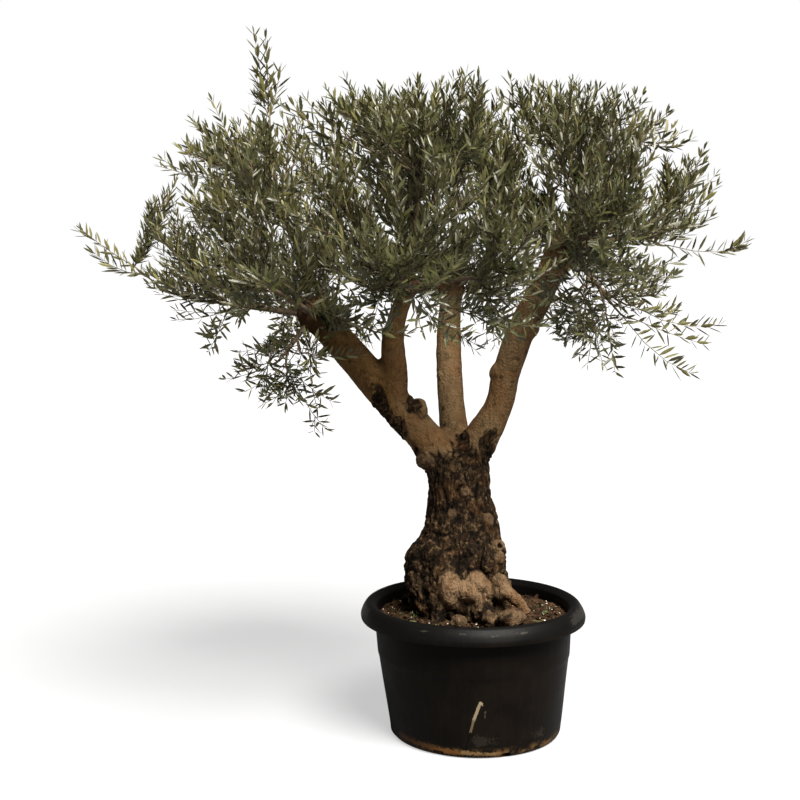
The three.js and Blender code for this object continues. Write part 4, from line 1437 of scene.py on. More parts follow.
@dataclass
class Growth:
    """The rule that the crown grows by: where twigs aim, how they run, and where sprays leave them."""

    middle: Point = (-145, 0, 1712)  # of the outline
    half: tuple[float, float] = (865, 765)  # of the outline, across and deep
    rise: float = 340  # of the outline above its middle
    drop: float = 330  # and below it
    power: float = 5.5  # how square the outline is
    targets: int = 162  # places over the outline that twigs grow to
    upright: float = 1.75  # how much they gather at the top and the foot
    inner_every: int = 5  # one in so many lies deeper
    inner_depth: float = 0.6  # at this share of the way out
    bare_disc: float = 0.5  # the share of the underside, round its middle, that has none
    heart_count: int = 9  # places in the crown's heart
    heart_middle: Point = (-70, 90, 1830)
    heart_reach: tuple[float, float] = (330, 260)
    heart_climb: float = 22  # how much higher each is than the last
    stem_share: float = 0.6  # of the way to the outline
    stem_least: float = 150
    stem_sprays: int = 2
    sag: float = 0.1  # of a twig's reach
    hug: float = 0.4  # how much sooner a twig leaves the stem for a place aside of it
    clear_of_tip: float = 170  # how far short of its place a twig ends
    length: float = 265  # of a full spray, as are the next two
    width: float = 122
    thickness: float = 7
    widest: float = 0.5  # the share of a spray's length where it is widest
    spacing: float = 75  # between the sprays on a twig
    apart: float = 104  # between the waists of a mass's sprays, at least
    lean: float = 0.7  # how far a spray leans off its twig
    lift: float = 0.2  # and up
    slim: float = 0.55  # the width of a long shoot's sprays, as a share
    bare_share: float = 0.25  # of a twig, from its foot
    limb_gap: float = 9  # from the boughs
    cell_gap: float = 4  # between two masses
    limb_steps: int = 9
    head_swell: float = 1.16  # of a pollard head
    target_seed: int = 49
    mass_seed: int = 443  # of the first mass, and one more for each after it

    def __post_init__(self) -> None:
        """Work out each mass's own space and the limbs that sprays keep clear of."""
        self.aims = {name: unit(np.array(mass.aim, float)) for name, mass in MASSES.items()}
        self.cells = {name: self._cell(name) for name in MASSES}
        lines = [bough.line(self.limb_steps) for bough in BOUGHS.values()]
        self.starts = np.vstack([line[:-1] for line, _ in lines])
        self.ends = np.vstack([line[1:] for line, _ in lines])
        swell = np.array([1.0] * (self.limb_steps - 1) + [self.head_swell])
        self.widths = np.concatenate([np.maximum(radii[:-1], radii[1:]) * swell for _, radii in lines])

    def _cell(self, name: str) -> Arrays:
        """Return the planes round a mass's own space, as points on them and inward directions."""
        own = MASSES[name].bough
        head = BOUGHS[own].head()
        on, inward = [], []
        for other, bough in BOUGHS.items():
            if other != own:
                on.append((head + bough.head()) / 2)
                inward.append(unit(head - bough.head()))
        for sibling, mass in MASSES.items():
            if sibling != name and mass.bough == own:
                on.append(head)
                inward.append(unit(self.aims[name] - self.aims[sibling]))
        return np.array(on), np.array(inward)

    def depth(self, name: str, points: Array) -> float:
        """Return how deep the worst of some points lies in a mass's own space."""
        on, inward = self.cells[name]
        return float(((points.reshape(-1, 1, 3) - on) * inward).sum(2).min())

    def gaps_to_limbs(self, points: Array) -> Array:
        """Return the gap between each of some points and the boughs."""
        along = self.ends - self.starts
        off = points.reshape(-1, 1, 3) - self.starts
        share = np.clip((off * along).sum(2) / (along**2).sum(1), 0, 1)
        nearest = lengths(off - share[..., None] * along)
        return (nearest - self.widths).min(1)

    def is_free(self, name: str, points: Array) -> bool:
        """Say whether points lie in a mass's own space and clear of the limbs."""
        clear = self.gaps_to_limbs(points).min() > self.limb_gap
        return clear and self.depth(name, points) > self.cell_gap / 2

    def all_targets(self) -> list[Target]:
        """Return the places that twigs grow to: over the outline, in the heart, and the long shoots."""
        stream = Stream(self.target_seed)
        middle, found = np.array(self.middle, float), []
        for k in range(self.targets):
            even = 1 - (2 * (k + 0.5)) / self.targets
            z = (even * self.upright) / math.hypot(math.sqrt(1 - even * even), even * self.upright)
            across, turn = math.sqrt(1 - z * z), k * GOLDEN_ANGLE
            square = (across**self.power + abs(z) ** self.power) ** (-1 / self.power)
            depth = 0.88 + 0.14 * stream.draw() if k % self.inner_every else self.inner_depth
            if z < 0 and across * square < self.bare_disc:
                continue
            x, y = self.half[0] * across * math.cos(turn), self.half[1] * across * math.sin(turn)
            reach = np.array([x, y, (self.rise if z > 0 else self.drop) * z])
            found.append(Target(middle + reach * square * depth))
        for k in range(self.heart_count):
            out = math.sqrt((k + 0.5) / self.heart_count)
            turn = k * GOLDEN_ANGLE
            wide, deep = self.heart_reach
            shift = [wide * out * math.cos(turn), deep * out * math.sin(turn), self.heart_climb * k]
            found.append(Target(np.array(self.heart_middle, float) + shift))
        return found + [Target(np.array(tip, float), self.slim) for tip in LONG_SHOOTS]

    def mass_at(self, point: Array) -> str:
        """Return the mass whose space holds a point."""
        return next(name for name in MASSES if self.depth(name, point) >= 0)

    def stem_length(self, name: str) -> float:
        """Return how far a mass's stem runs: a share of the way to the crown's outline."""
        head = BOUGHS[MASSES[name].bough].head()
        for reach in range(60, 1500, 10):
            p = head + self.aims[name] * reach
            x, y, z = p - self.middle
            across = math.hypot(x / self.half[0], y / self.half[1])
            up = abs(z) / (self.rise if z > 0 else self.drop)
            if across**self.power + up**self.power > 1 or self.depth(name, p) < self.cell_gap:
                return max(reach * self.stem_share, self.stem_least)
        return self.stem_least

    def _twig_line(self, head: Array, stem: Array, share: float, target: Target, sag: float) -> Array:
        """Return the line of a twig from a share of the stem towards its target."""
        start = head + stem * share
        reach = float(np.linalg.norm(target.point - start))
        left = 0.95 * self.length if target.slim < 1 else self.clear_of_tip
        end = start + (target.point - start) * max(0.3, 1 - left / reach)
        control = (start + end) / 2 + stem * (0.1 * reach) / np.linalg.norm(stem)
        control[2] -= reach * sag
        return np.array([start, (start + 2 * control + end) / 4, end])

    def twig_line(self, name: str, head: Array, stem: Array, target: Target) -> Array | None:
        """Find a twig's line.

        Args:
            name: the mass that the twig belongs to.
            head: the pollard head.
            stem: the mass's stem, from the head.
            target: where the twig grows to.

        Returns:
            Three points along the first line that is clear, or None.
        """
        offset = target.point - head
        out = float(offset @ self.aims[name])
        aside = float(np.linalg.norm(offset - self.aims[name] * out))
        share = min(max((out - aside * self.hug) / float(np.linalg.norm(stem)), 0.34), 0.98)
        for sag in (self.sag, 0.0, -self.sag):
            for shift in (0.0, -0.2, 0.2, 0.4):
                start = min(max(share + shift, 0.25), 0.98)
                line = self._twig_line(head, stem, start, target, sag)
                if self.is_free(name, line[1:]):
                    return line
        return None

    def _side_spray(
        self, line: Array, t: float, turn: float, tilt: float, scale: float, slim: float
    ) -> Spray:
        """Return a spray that leaves a twig to one side, leaning forward and lifting to the light."""
        root, heading = on_curve(line, t), heading_on(line, t)
        across = unit(np.array([-heading[1], heading[0], 0.0]))
        side = across * math.cos(turn) + np.cross(heading, across) * math.sin(turn)
        along = heading + side * self.lean
        along[2] += self.lift
        along = unit(along)
        flat = square_to(side + np.cross(along, side) * tilt, along)
        return Spray(root, along, flat, self.length * scale, self.width * slim * scale)

    def sprays_along(
        self, name: str, line: Array, count: int, stream: Stream, waists: list[Array], slim: float
    ) -> list[Spray]:
        """Place sprays along a line.

        Args:
            name: the mass that they belong to.
            line: three points of the twig.
            count: how many sprays to try.
            stream: gives the turns and sizes.
            waists: the waists of the mass's sprays so far, which new ones keep clear of.
            slim: their width as a share of the usual.

        Returns:
            The sprays that found a place.
        """
        found = []
        for k in range(count):
            t = self.bare_share + (1 - self.bare_share) * ((k + 0.4) / count)
            turn = k * GOLDEN_ANGLE + stream.draw() * FULL_TURN * 0.15
            tilt, scale = 2 * stream.draw() - 1, 0.8 + 0.3 * stream.draw()
            for attempt in range(8):
                size = scale if attempt < 4 else scale * 0.65
                spray = self._side_spray(line, t, turn + attempt * 0.25 * FULL_TURN, tilt, size, slim)
                corners = spray.corners(self.thickness, self.widest)
                near = any(np.linalg.norm(waist - corners[4]) < self.apart for waist in waists)
                if near or not self.is_free(name, corners):
                    continue
                waists.append(corners[4])
                found.append(spray)
                break
        return found

    def sprays_on(
        self, name: str, line: Array, stream: Stream, waists: list[Array], slim: float
    ) -> list[Spray]:
        """Return the sprays on a twig: along it, and one at its tip."""
        before, tip = line[-2], line[-1]
        reach = float(np.linalg.norm(line[0] - tip))
        count = max(1, math.floor(reach * (1 - self.bare_share) / self.spacing + 0.5))
        found = self.sprays_along(name, line, count, stream, waists, slim)
        along = unit(tip - before)
        flat = square_to(np.array([0.0, -0.8, 1.0]), along)
        last = Spray(before + (tip - before) * 0.97, along, flat, self.length, self.width * slim)
        if self.is_free(name, last.corners(self.thickness, self.widest)):
            found.append(last)
        return found


@dataclass
class MassGrowth:
    """What has grown in one mass: its stem, its twigs and its sprays."""

    stem: Array
    twigs: list[Array]
    slims: list[float]
    sprays: list[Spray]


@dataclass
class Shoots:
    """Leafy shoots, one a row."""

    root: Array
    tip: Array
    bow: Array  # how much it bends
    side: Array  # its flat side
    finish: Array
    leaf: Array  # the size of its leaves
    stray: Array  # whether it may leave the crown's outline

    def at(self, share: Array, rows: Array) -> Arrays:
        """Find places along shoots.

        Args:
            share: the share of the way along.
            rows: which shoot each is on.

        Returns:
            The places, and the unit direction of the shoot at each.
        """
        chord = self.tip[rows] - self.root[rows]
        bend = (self.bow[rows] * lengths(chord))[:, None] * UP
        s = share[:, None]
        return self.root[rows] + chord * s + bend * (s * s - s), unit(chord + bend * (2 * s - 1))

    def where(self, kept: Array) -> "Shoots":
        """Return the shoots that a mask keeps."""
        return Shoots(*(getattr(self, name)[kept] for name in self.__dataclass_fields__))

    @staticmethod
    def joined(parts: Sequence["Shoots"]) -> "Shoots":
        """Put several sets of shoots together."""
        fields = Shoots.__dataclass_fields__
        return Shoots(*(np.concatenate([getattr(part, name) for part in parts]) for name in fields))


# the triangles between a leaf's eight points
LEAF_FACES = ((0, 3, 2), (0, 2, 1), (3, 6, 5), (3, 5, 2), (2, 5, 4), (2, 4, 1), (6, 7, 5), (5, 7, 4))


@dataclass
class Leafage:
    """How shoots branch and bear leaves."""

    spacing: float = 26.5  # between pairs of leaves
    stray_spacing: float = 19  # and on a long shoot
    blade: float = 51  # a full-grown leaf
    breadth: float = 0.205  # of its length
    fold: float = 0.16  # of its breadth
    curl: float = 0.1  # of its length
    to_light: float = 0.4  # how much a leaf turns up from its shoot
    bow: float = 0.2
    side_places: tuple[float, ...] = (0.06, 0.22, 0.38, 0.54, 0.7)
    side_lean: float = 0.42
    side_share: float = 0.78
    fan_from: Point = (-120, 0, 1150)  # shoots turn away from here as they grow
    fan: float = 0.55
    fan_lift: float = 0.22
    heart: Point = (-145, 0, 1650)  # the middle of the crown's shaded heart
    heart_half: Point = (900, 800, 480)
    slim_branching: float = 0.2  # the share of side shoots that a slim spray keeps
    slim_length: float = 0.55  # of a slim spray's side shoots
    own_finish: float = 0.2  # the share of leaves that take a finish of their own
    small_spacing: float = 60  # between the small shoots along a twig
    small_length: tuple[float, float] = (130, 250)
    small_lean: float = 0.5
    at_tip: float = 1.6  # what the leaf at a shoot's tip counts as its share of the way
    shoot_radius: float = 1.9
    tip_radius: float = 0.8

    def finishes(self, points: Array, rng: Draws) -> Array:
        """Deal out the finishes of leaves at some points: darker in the crown's heart than at its edge, as
        painted shade inside and painted light outside.
        """
        off = (points - np.array(self.heart, float)) / np.array(self.heart_half, float)
        outer = ease(lengths(off), 0.55, 1.0)[:, None]
        ends = np.cumsum(INNER_SHARES * (1 - outer) + OUTER_SHARES * outer, axis=1)
        return (rng.random(len(points))[:, None] > ends[:, :-1]).sum(1)

    def _outward(self, points: Array) -> Array:
        """Return how much shoots at some points turn out and up, away from the crown's foot."""
        return self.fan * unit(points - np.array(self.fan_from, float)) + UP * self.fan_lift

    def from_sprays(self, sprays: list[Spray], rng: Draws) -> Shoots:
        """Split sprays into shoots: a main one each, and side shoots that leave it.

        Args:
            sprays: the sprays.
            rng: gives the small differences.

        Returns:
            All the shoots.
        """
        root, along, flat = (np.array([getattr(s, key) for s in sprays]) for key in ("root", "along", "flat"))
        length = np.array([s.length for s in sprays])
        slim = np.array([s.width / s.length for s in sprays]) / (Growth.width / Growth.length)
        side = unit(np.cross(flat, along))
        count, rows = len(sprays), np.arange(len(sprays))
        finish = self.finishes(root + along * length[:, None], rng)
        leaf = rng.uniform(0.88, 1.12, count)
        reach = length - 0.6 * self.blade
        bow = self.bow * rng.uniform(0.3, 1.5, count)
        main = Shoots(root, root + along * reach[:, None], bow, side, finish, leaf, slim < 1)
        parts = [main]
        for k, place in enumerate(self.side_places):
            share = np.clip(place + rng.uniform(-0.05, 0.05, count), 0.02, 0.9)
            start, heading = main.at(share, rows)
            way = (-1) ** k * rng.choice([1, 1, 1, -1], count)
            out = unit(side * way[:, None] + flat * rng.uniform(-0.5, 0.7, count)[:, None])
            lean = self.side_lean * rng.uniform(0.7, 1.25, count) * np.where(slim < 1, 0.8, 1.0)
            direction = unit(heading + out * lean[:, None] + self._outward(start))
            size = length * self.side_share * (1 - 0.5 * place) * rng.uniform(0.7, 1.2, count)
            size = size * np.where(slim < 1, self.slim_length, 1.0)
            tip = start + direction * size[:, None]
            fresh = self.finishes(tip, rng)
            bow = self.bow * rng.uniform(0.2, 1.4, count)
            look = np.where(rng.random(count) < 0.65, finish, fresh)
            flat_side = square_to(np.cross(flat, direction), direction)
            grown = Shoots(start, tip, bow, flat_side, look, leaf * 0.95, slim < 1)
            parts.append(grown.where((slim >= 1) | (rng.random(count) < self.slim_branching)))
        return Shoots.joined(parts)

    def from_twig(self, line: Array, bare: float, last: float, rng: Draws) -> Shoots:
        """Let small shoots leave a twig all along it.

        Args:
            line: three points of the twig.
            bare: the share of the twig, from its foot, that bears none.
            last: the share of the way up to which it bears them.
            rng: gives the small differences.

        Returns:
            The shoots.
        """
        reach = float(np.linalg.norm(line[-1] - line[0]))
        count = max(2, round(reach * (last - bare) / self.small_spacing))
        shares = bare + (last - bare) * (np.arange(count) + rng.uniform(0.2, 0.8, count)) / count
        start = along_curve(line, shares)
        heading = np.array([heading_on(line, t) for t in shares])
        turn = np.arange(count) * GOLDEN_ANGLE + rng.uniform(0, FULL_TURN)
        across = square_to(rng.normal(0, 1, 3) + UP, heading)
        out = across * np.cos(turn)[:, None] + np.cross(heading, across) * np.sin(turn)[:, None]
        lean = self.small_lean * rng.uniform(0.7, 1.3, count)
        direction = unit(heading + out * lean[:, None] + 1.6 * self._outward(start))
        tip = start + direction * rng.uniform(*self.small_length, count)[:, None]
        bow = self.bow * rng.uniform(0.2, 1.3, count)
        side = square_to(np.cross(direction, UP) + 0.01, direction)
        look, leaf = self.finishes(tip, rng), rng.uniform(0.85, 1.05, count)
        return Shoots(start, tip, bow, side, look, leaf, np.zeros(count, bool))

    def add_wood(self, shape: Shape, shoots: Shoots) -> None:
        """Add the shoots' thin stalks to a shape."""
        steps = 4
        rows = np.repeat(np.arange(len(shoots.root)), steps)
        share = np.tile(np.linspace(0, 1, steps), len(shoots.root))
        lines = shoots.at(share, rows)[0].reshape(-1, steps, 3)
        radii = np.tile(np.linspace(self.shoot_radius, self.tip_radius, steps), (len(lines), 1))
        shape.add(*tubes(lines, radii, 3), 1)

    def add_leaves(
        self, shape: Shape, shoots: Shoots, rng: Draws, is_clear: Callable[[Array], Array]
    ) -> int:
        """Add pairs of leaves along shoots, and one at each tip.

        Args:
            shape: takes the leaves.
            shoots: the shoots.
            rng: gives the small differences.
            is_clear: says of each of some places whether a leaf may lie there.

        Returns:
            How many leaves there are.
        """
        reach = lengths(shoots.tip - shoots.root)
        spacing = np.where(shoots.stray, self.stray_spacing, self.spacing)
        pairs = np.maximum(2, np.round(reach / spacing)).astype(int)
        rows = np.repeat(np.arange(len(reach)), pairs)
        order = np.arange(len(rows)) - np.repeat(np.cumsum(pairs) - pairs, pairs)
        share = (order + 0.7) / pairs[rows]
        spin = rng.uniform(-0.5, 0.5, len(reach))
        turn = spin[rows] + (order % 2) * math.pi / 2 + rng.normal(0, 0.28, len(rows))
        place, heading = shoots.at(np.clip(share, 0, 1), rows)
        side = square_to(shoots.side[rows], heading)
        out = np.cos(turn)[:, None] * side + np.sin(turn)[:, None] * np.cross(heading, side)
        size = shoots.leaf[rows]
        sets = [(self.blades(place, heading, way * out, share, size, rng), rows) for way in (1, -1)]
        ends = np.arange(len(reach))
        tip, ahead = shoots.at(np.ones(len(ends)), ends)
        side, at_tip = square_to(shoots.side, ahead), np.full(len(ends), self.at_tip)
        last = self.blades(tip, ahead, side, at_tip, shoots.leaf, rng)
        total = 0
        for blades, owner in [*sets, (last, ends)]:
            kept = is_clear(blades[:, 2]) & is_clear(blades[:, 7])
            blades, owner = blades[kept], owner[kept]
            own = self.finishes(blades[:, 7], rng)
            finish = np.where(rng.random(len(blades)) < self.own_finish, own, shoots.finish[owner])
            shape.add_each(blades, LEAF_FACES, finish)
            total += len(blades)
        return total

    def blades(
        self, place: Array, heading: Array, out: Array, share: Array, size: Array, rng: Draws
    ) -> Array:
        """Shape leaf blades.

        Args:
            place: where each leaf leaves its shoot.
            heading: the shoot's direction there.
            out: the side that the leaf leaves to.
            share: how far along the shoot it is, or at_tip at its end.
            size: the size of the shoot's leaves.
            rng: gives the small differences.

        Returns:
            Eight points for each leaf.
        """
        count = len(place)
        lean = np.radians(np.interp(share, [0, 1, self.at_tip], [58, 40, 10]) + rng.normal(0, 9, count))
        along = unit(heading * np.cos(lean)[:, None] + out * np.sin(lean)[:, None] + UP * self.to_light)
        grown = np.interp(share, [0, 0.25, 0.75, 1, self.at_tip], [0.75, 1.0, 1.0, 0.66, 0.6])
        length = self.blade * size * (grown * rng.uniform(0.8, 1.15, count))
        width = length * self.breadth * rng.uniform(0.85, 1.15, count)
        face = square_to(heading * 0.8 + UP * 0.45 + rng.normal(0, 0.3, (count, 3)), along)
        left = np.cross(face, along)
        curl = self.curl * rng.uniform(-0.4, 1.8, count) * length
        u = np.array([0, 0.32, 0.32, 0.32, 0.68, 0.68, 0.68, 1.0])
        v = np.array([0, 0.46, 0, -0.46, 0.42, 0, -0.42, 0])
        w = np.array([0, 0, -1, 0, 0, -1, 0, 0]) * self.fold
        width, length, curl = width[:, None], length[:, None], curl[:, None]
        sizes = ((along, u * length), (left, v * width), (face, w * width - u**2 * curl))
        return place[:, None] + sum(way[:, None] * size[..., None] for way, size in sizes)


@dataclass
class Crown:
    """The whole crown: stems, twigs and leafy shoots grown mass by mass, joined bough by bough."""

    stem_radius: float = 12
    stem_tip: float = 6.5
    twig_radius: float = 4.6
    twig_tip: float = 2.4
    head_sprays: int = 9  # for each mass
    head_spread: float = 0.85
    edge: float = 22  # how far a shoot's tip stays inside the crown's box
    round_half: Point = (885, 830, 380)  # the rounded outline that shoots end at, over the rule's middle
    round_tilt: float = 0.08  # how much higher it stands to the right
    round_power: float = 2.7
    round_spread: float = 0.1
    # the pale leaf finishes of the long pale shoots: painted light
    pale_finishes: tuple[int, ...] = (2, 3, 4)
    pale_bow: float = 0.4
    pale_leaf: float = 1.18
    slim_sides: float = 0.45  # the share of the sprays along a long shoot that stay
    clear_of_limbs: float = 5
    growth: Growth = field(default_factory=Growth)
    leafage: Leafage = field(default_factory=Leafage)

    def grow(self) -> dict[str, MassGrowth]:
        """Grow every mass by the rule and return what each holds."""
        rule = self.growth
        share_out: dict[str, list[Target]] = {name: [] for name in MASSES}
        for target in rule.all_targets():
            share_out[rule.mass_at(target.point)].append(target)
        grown = {}
        for order, name in enumerate(MASSES):
            stream = Stream(rule.mass_seed + order)
            head = BOUGHS[MASSES[name].bough].head()
            stem = rule.aims[name] * rule.stem_length(name)
            stem_line = np.array([head + stem * share for share in (0, 0.5, 1)])
            waists: list[Array] = []
            twigs, slims, sprays = [], [], []
            for target in share_out[name]:
                draws = Stream(int(stream.draw() * 1e9))
                line = rule.twig_line(name, head, stem, target)
                if line is None:
                    continue
                twigs.append(line)
                slims.append(target.slim)
                sprays += rule.sprays_on(name, line, draws, waists, target.slim)
            sprays += rule.sprays_along(name, stem_line, rule.stem_sprays, stream, waists, 1)
            grown[name] = MassGrowth(stem_line, twigs, slims, sprays)
        return grown

    def _sprays_from_head(self, name: str, rng: Draws) -> list[Spray]:
        """Return the young sprays that spring straight from a pollard head into a mass's space."""
        bough = BOUGHS[MASSES[name].bough]
        found = []
        for _ in range(self.head_sprays):
            along = unit(self.growth.aims[name] + rng.normal(0, self.head_spread, 3) + UP * 0.25)
            flat = square_to(rng.normal(0, 1, 3) + UP, along)
            length = self.growth.length * rng.uniform(0.55, 1.2)
            root = bough.head() + along * bough.radii[-1] * 0.9
            spray = Spray(root, along, flat, length, self.growth.width)
            if self.growth.is_free(name, spray.corners(self.growth.thickness, self.growth.widest)[1:4]):
                found.append(spray)
        return found

    def _extra_sprays(self, name: str, mass: MassGrowth) -> list[Spray]:
        """Return the sprays that fill the crown's thin places, each from the mass's nearest twig."""
        wood = np.vstack([mass.stem, *mass.twigs])
        found = []
        for tip in np.array(THIN_PLACES.get(name, ()), float):
            root = nearest(wood, tip)
            along = unit(tip - root)
            flat = square_to(np.array([0.0, -0.8, 1.0]), along)
            found.append(Spray(root, along, flat, float(np.linalg.norm(tip - root)), self.growth.width))
        return found

    def _pale_shoots(self, name: str, mass: MassGrowth, rng: Draws) -> list[Shoots]:
        """Return the long pale shoots of a mass, each from the nearest wood, with pale finishes as painted
        light.
        """
        shares = np.linspace(0, 1, 9)
        wood = np.vstack([along_curve(line, shares) for line in [mass.stem, *mass.twigs]])
        found = []
        for start, end in PALE_SHOOTS.get(name, ()):
            root = nearest(wood, start)[None]
            tip = np.array([end], float)
            side = square_to(rng.normal(0, 1, (1, 3)), unit(tip - root))
            one = np.ones(1)
            finish = rng.choice(self.pale_finishes, 1)
            found.append(Shoots(root, tip, one * self.pale_bow, side, finish, one * self.pale_leaf, one > 0))
        return found

    def _stays(self, middle: Array, rng: Draws) -> Array:
        """Say of each of some places whether what grows there stays, by how bare the crown is there."""
        kept = np.ones(len(middle), bool)
        for opening in OPENINGS:
            kept &= ~opening.holds(middle) | (rng.random(len(kept)) < opening.kept)
        return kept

    def _thinned(self, sprays: list[Spray], rng: Draws) -> list[Spray]:
        """Return the sprays that stay: each as a whole, with every one that ends a long shoot."""
        middle = np.array([s.root + s.along * s.length * 0.6 for s in sprays])
        slim = np.array([s.width < 0.8 * self.growth.width * s.length / self.growth.length for s in sprays])
        last = np.array([s.length == self.growth.length for s in sprays])
        open_to = self._stays(middle, rng)
        few = slim & (last | (open_to & (rng.random(len(sprays)) < self.slim_sides)))
        return [s for s, stays in zip(sprays, few | (open_to & ~slim)) if stays]

    def _within(self, shoots: Shoots, low: Array, high: Array) -> Shoots:
        """Shorten shoots that would leave the crown's box, and drop those left too short."""
        chord = shoots.tip - shoots.root
        room = np.where(chord > 0, high - self.edge - shoots.root, low + self.edge - shoots.root)
        share = np.clip((room / np.where(np.abs(chord) < 1e-6, 1e-6, chord)).min(1), 0, 1)
        shoots.tip = shoots.root + chord * share[:, None]
        return shoots.where(lengths(shoots.tip - shoots.root) > self.leafage.blade * 0.6)

    def _rounded(self, shoots: Shoots, rng: Draws) -> Shoots:
        """End shoots at the crown's rounded outline, each a little apart, and drop those far outside."""
        limit = 1 + rng.uniform(-self.round_spread, self.round_spread, len(shoots.root))
        kept = np.zeros(len(limit))
        chord = shoots.tip - shoots.root
        for share in (0.4, 0.55, 0.7, 0.85, 1.0):
            off = shoots.root + chord * share - np.array(self.growth.middle, float)
            off[:, 2] -= self.round_tilt * off[:, 0]
            off /= np.array(self.round_half)
            off[:, 2] = np.maximum(off[:, 2], 0)
            out = (np.abs(off) ** self.round_power).sum(1) ** (1 / self.round_power)
            kept = np.where((out < limit) | shoots.stray, share, kept)
        shoots.tip = shoots.root + chord * kept[:, None]
        return shoots.where(kept > 0)

    def build(self) -> list[tuple[Piece, Piece, list[str]]]:
        """Build the leaves and twigs.

        Returns:
            For each bough, its leaves, its twigs and the names of the masses they stand for.
        """
        grown, rule = self.grow(), self.growth
        corners = [s.corners(rule.thickness, rule.widest) for mass in grown.values() for s in mass.sprays]
        low, high = np.vstack(corners).min(0), np.vstack(corners).max(0)
        pieces = []
        for bough in BOUGHS:
            names = [name for name in MASSES if MASSES[name].bough == bough]
            wood, leaves = Shape(), Shape()
            total = 0
            for name in names:
                rng = np.random.default_rng(list(MASSES).index(name) + 20)
                mass = grown[name]
                self._add_branches(wood, [mass.stem], self.stem_radius, self.stem_tip, 8)
                self._add_branches(wood, mass.twigs, self.twig_radius, self.twig_tip, 5)
                sprays = self._thinned(mass.sprays + self._sprays_from_head(name, rng), rng)
                main = self.leafage.from_sprays(sprays + self._extra_sprays(name, mass), rng)
                small = [self.leafage.from_twig(mass.stem, 0.25, 1.0, rng)]
                for line, slim in zip(mass.twigs, mass.slims):
                    small.append(self.leafage.from_twig(line, 0.12, 1.0 if slim == 1 else 0.4, rng))
                few = Shoots.joined(small)
                few = few.where(self._stays(0.35 * few.root + 0.65 * few.tip, rng))
                grown_out = Shoots.joined([main, few, *self._pale_shoots(name, mass, rng)])
                shoots = self._within(self._rounded(grown_out, rng), low, high)
                shoots = shoots.where(self._is_clear(shoots.tip))
                self.leafage.add_wood(wood, shoots)
                total += self.leafage.add_leaves(leaves, shoots, rng, self._is_clear)
            short = bough.removesuffix("_bough")
            pieces.append((leaves.build(f"{short}_leaves"), wood.build(f"{short}_twigs"), names))
            LOG.info("%s: %d leaves on %d sprays", short, total, sum(len(grown[n].sprays) for n in names))
        return pieces

    def _is_clear(self, points: Array) -> Array:
        """Say of each point whether it lies clear of the boughs."""
        return self.growth.gaps_to_limbs(points) > self.clear_of_limbs

    def _add_branches(self, shape: Shape, lines: list[Array], radius: float, tip: float, sides: int) -> None:
        """Add tapering branches along smooth lines through three points each."""
        if lines:
            shares = np.linspace(0, 1, 7)
            smooth = np.array([along_curve(line, shares) for line in lines])
            radii = np.tile(radius + (tip - radius) * shares, (len(lines), 1))
            shape.add(*tubes(smooth, radii, sides))


# ---------------------------------------------------------------- pot and soil


@dataclass
class Pot:
    """The nursery pot: a tapering wall with a nesting ledge, a rolled rim and slots round its foot."""

    sides: int = 160
    # radius, height and rounding of each corner, from the middle of the underside round to the floor
    corners: tuple[Point, ...] = (
        *((0, 0, 0), (268, 0, 6), (276, 3, 6), (283, 13, 9)),  # the foot
        *((315, 260, 6), (319, 274, 6), (326, 384, 2), (326, 389, 2)),  # the wall and its nesting ledge
        *((322, 391, 2), (324, 426, 4), (340, 432, 4), (363, 398, 3)),  # up under the rim
        *((364, 388, 1), (371, 387, 2), (373, 400, 6), (366, 420, 9), (354, 438, 8)),  # round the rim
        *((344, 443, 4), (337, 443, 4), (328, 438, 5), (317, 428, 5)),
        *((315, 371, 3), (309, 361, 3), (275, 12, 4), (0, 10, 0)),  # down the inside to the floor
    )
    slots: int = 8
    slot_size: Point = (26, 36, 17)
    slot_radius: float = 277
    sag: float = 1.6  # how far the wall wanders in and out
    lean: float = 11  # how far the foot stands to the right of the rim
    rim_height: float = 443

    def build(self) -> Piece:
        """Build the pot's mesh."""
        profile = finer(rounded(self.corners, 4), 30)
        points, triangles = lathe(profile, self.sides)
        wave = lumps(points, (190, 190, 150), 2.2) * self.sag
        out = unit(points * np.array([1.0, 1.0, 0.0]))
        outer = ease(lengths(points[:, :2]), 200, 260)
        points = points + out * (wave * outer)[:, None]
        points[:, 0] += self.lean * (1 - points[:, 2] / self.rim_height)
        shape = Shape()
        shape.add(points, triangles)
        pot = shape.build("nursery_pot")
        self._cut_slots(pot)
        return pot

    def _cut_slots(self, pot: Piece) -> None:
        """Cut the drain slots through the pot's bottom edge."""
        cutter = Shape()
        profile = rounded([(0, -0.5, 0), (0.5, -0.5, 0.3), (0.5, 0.5, 0.3), (0, 0.5, 0)])
        for k in range(self.slots):
            turn = (k + 0.5) / self.slots * FULL_TURN
            points, triangles = lathe(profile, 12)
            points = points * np.array(self.slot_size) + [self.slot_radius, 0, self.slot_size[2] / 2 + 1.5]
            cutter.add(turned(points, turn), triangles)
        tool = cutter.build("slot_cutter")
        cut = pot.modifiers.new("slots", "BOOLEAN")
        cut.operation, cut.object, cut.solver = "DIFFERENCE", tool, "EXACT"
        settle(pot)
        bpy.data.objects.remove(tool)
        pot.data.polygons.foreach_set("use_smooth", np.full(len(pot.data.polygons), True))


# an angular scrap, as shares of its half-sizes: its eight corners and the triangles between them
SCRAP_CORNERS = (
    *((-1, -0.8, -1), (0.9, -1, -0.8), (1.1, 0.7, -1), (-0.8, 1, -0.9)),
    *((-0.8, -0.7, 1), (0.8, -0.8, 0.9), (0.7, 0.8, 1), (-0.9, 0.7, 0.8)),
)
SCRAP_FACES = (
    *((0, 2, 1), (0, 3, 2), (4, 5, 6), (4, 6, 7), (0, 1, 5), (0, 5, 4)),
    *((1, 2, 6), (1, 6, 5), (2, 3, 7), (2, 7, 6), (3, 0, 4), (3, 4, 7)),
)


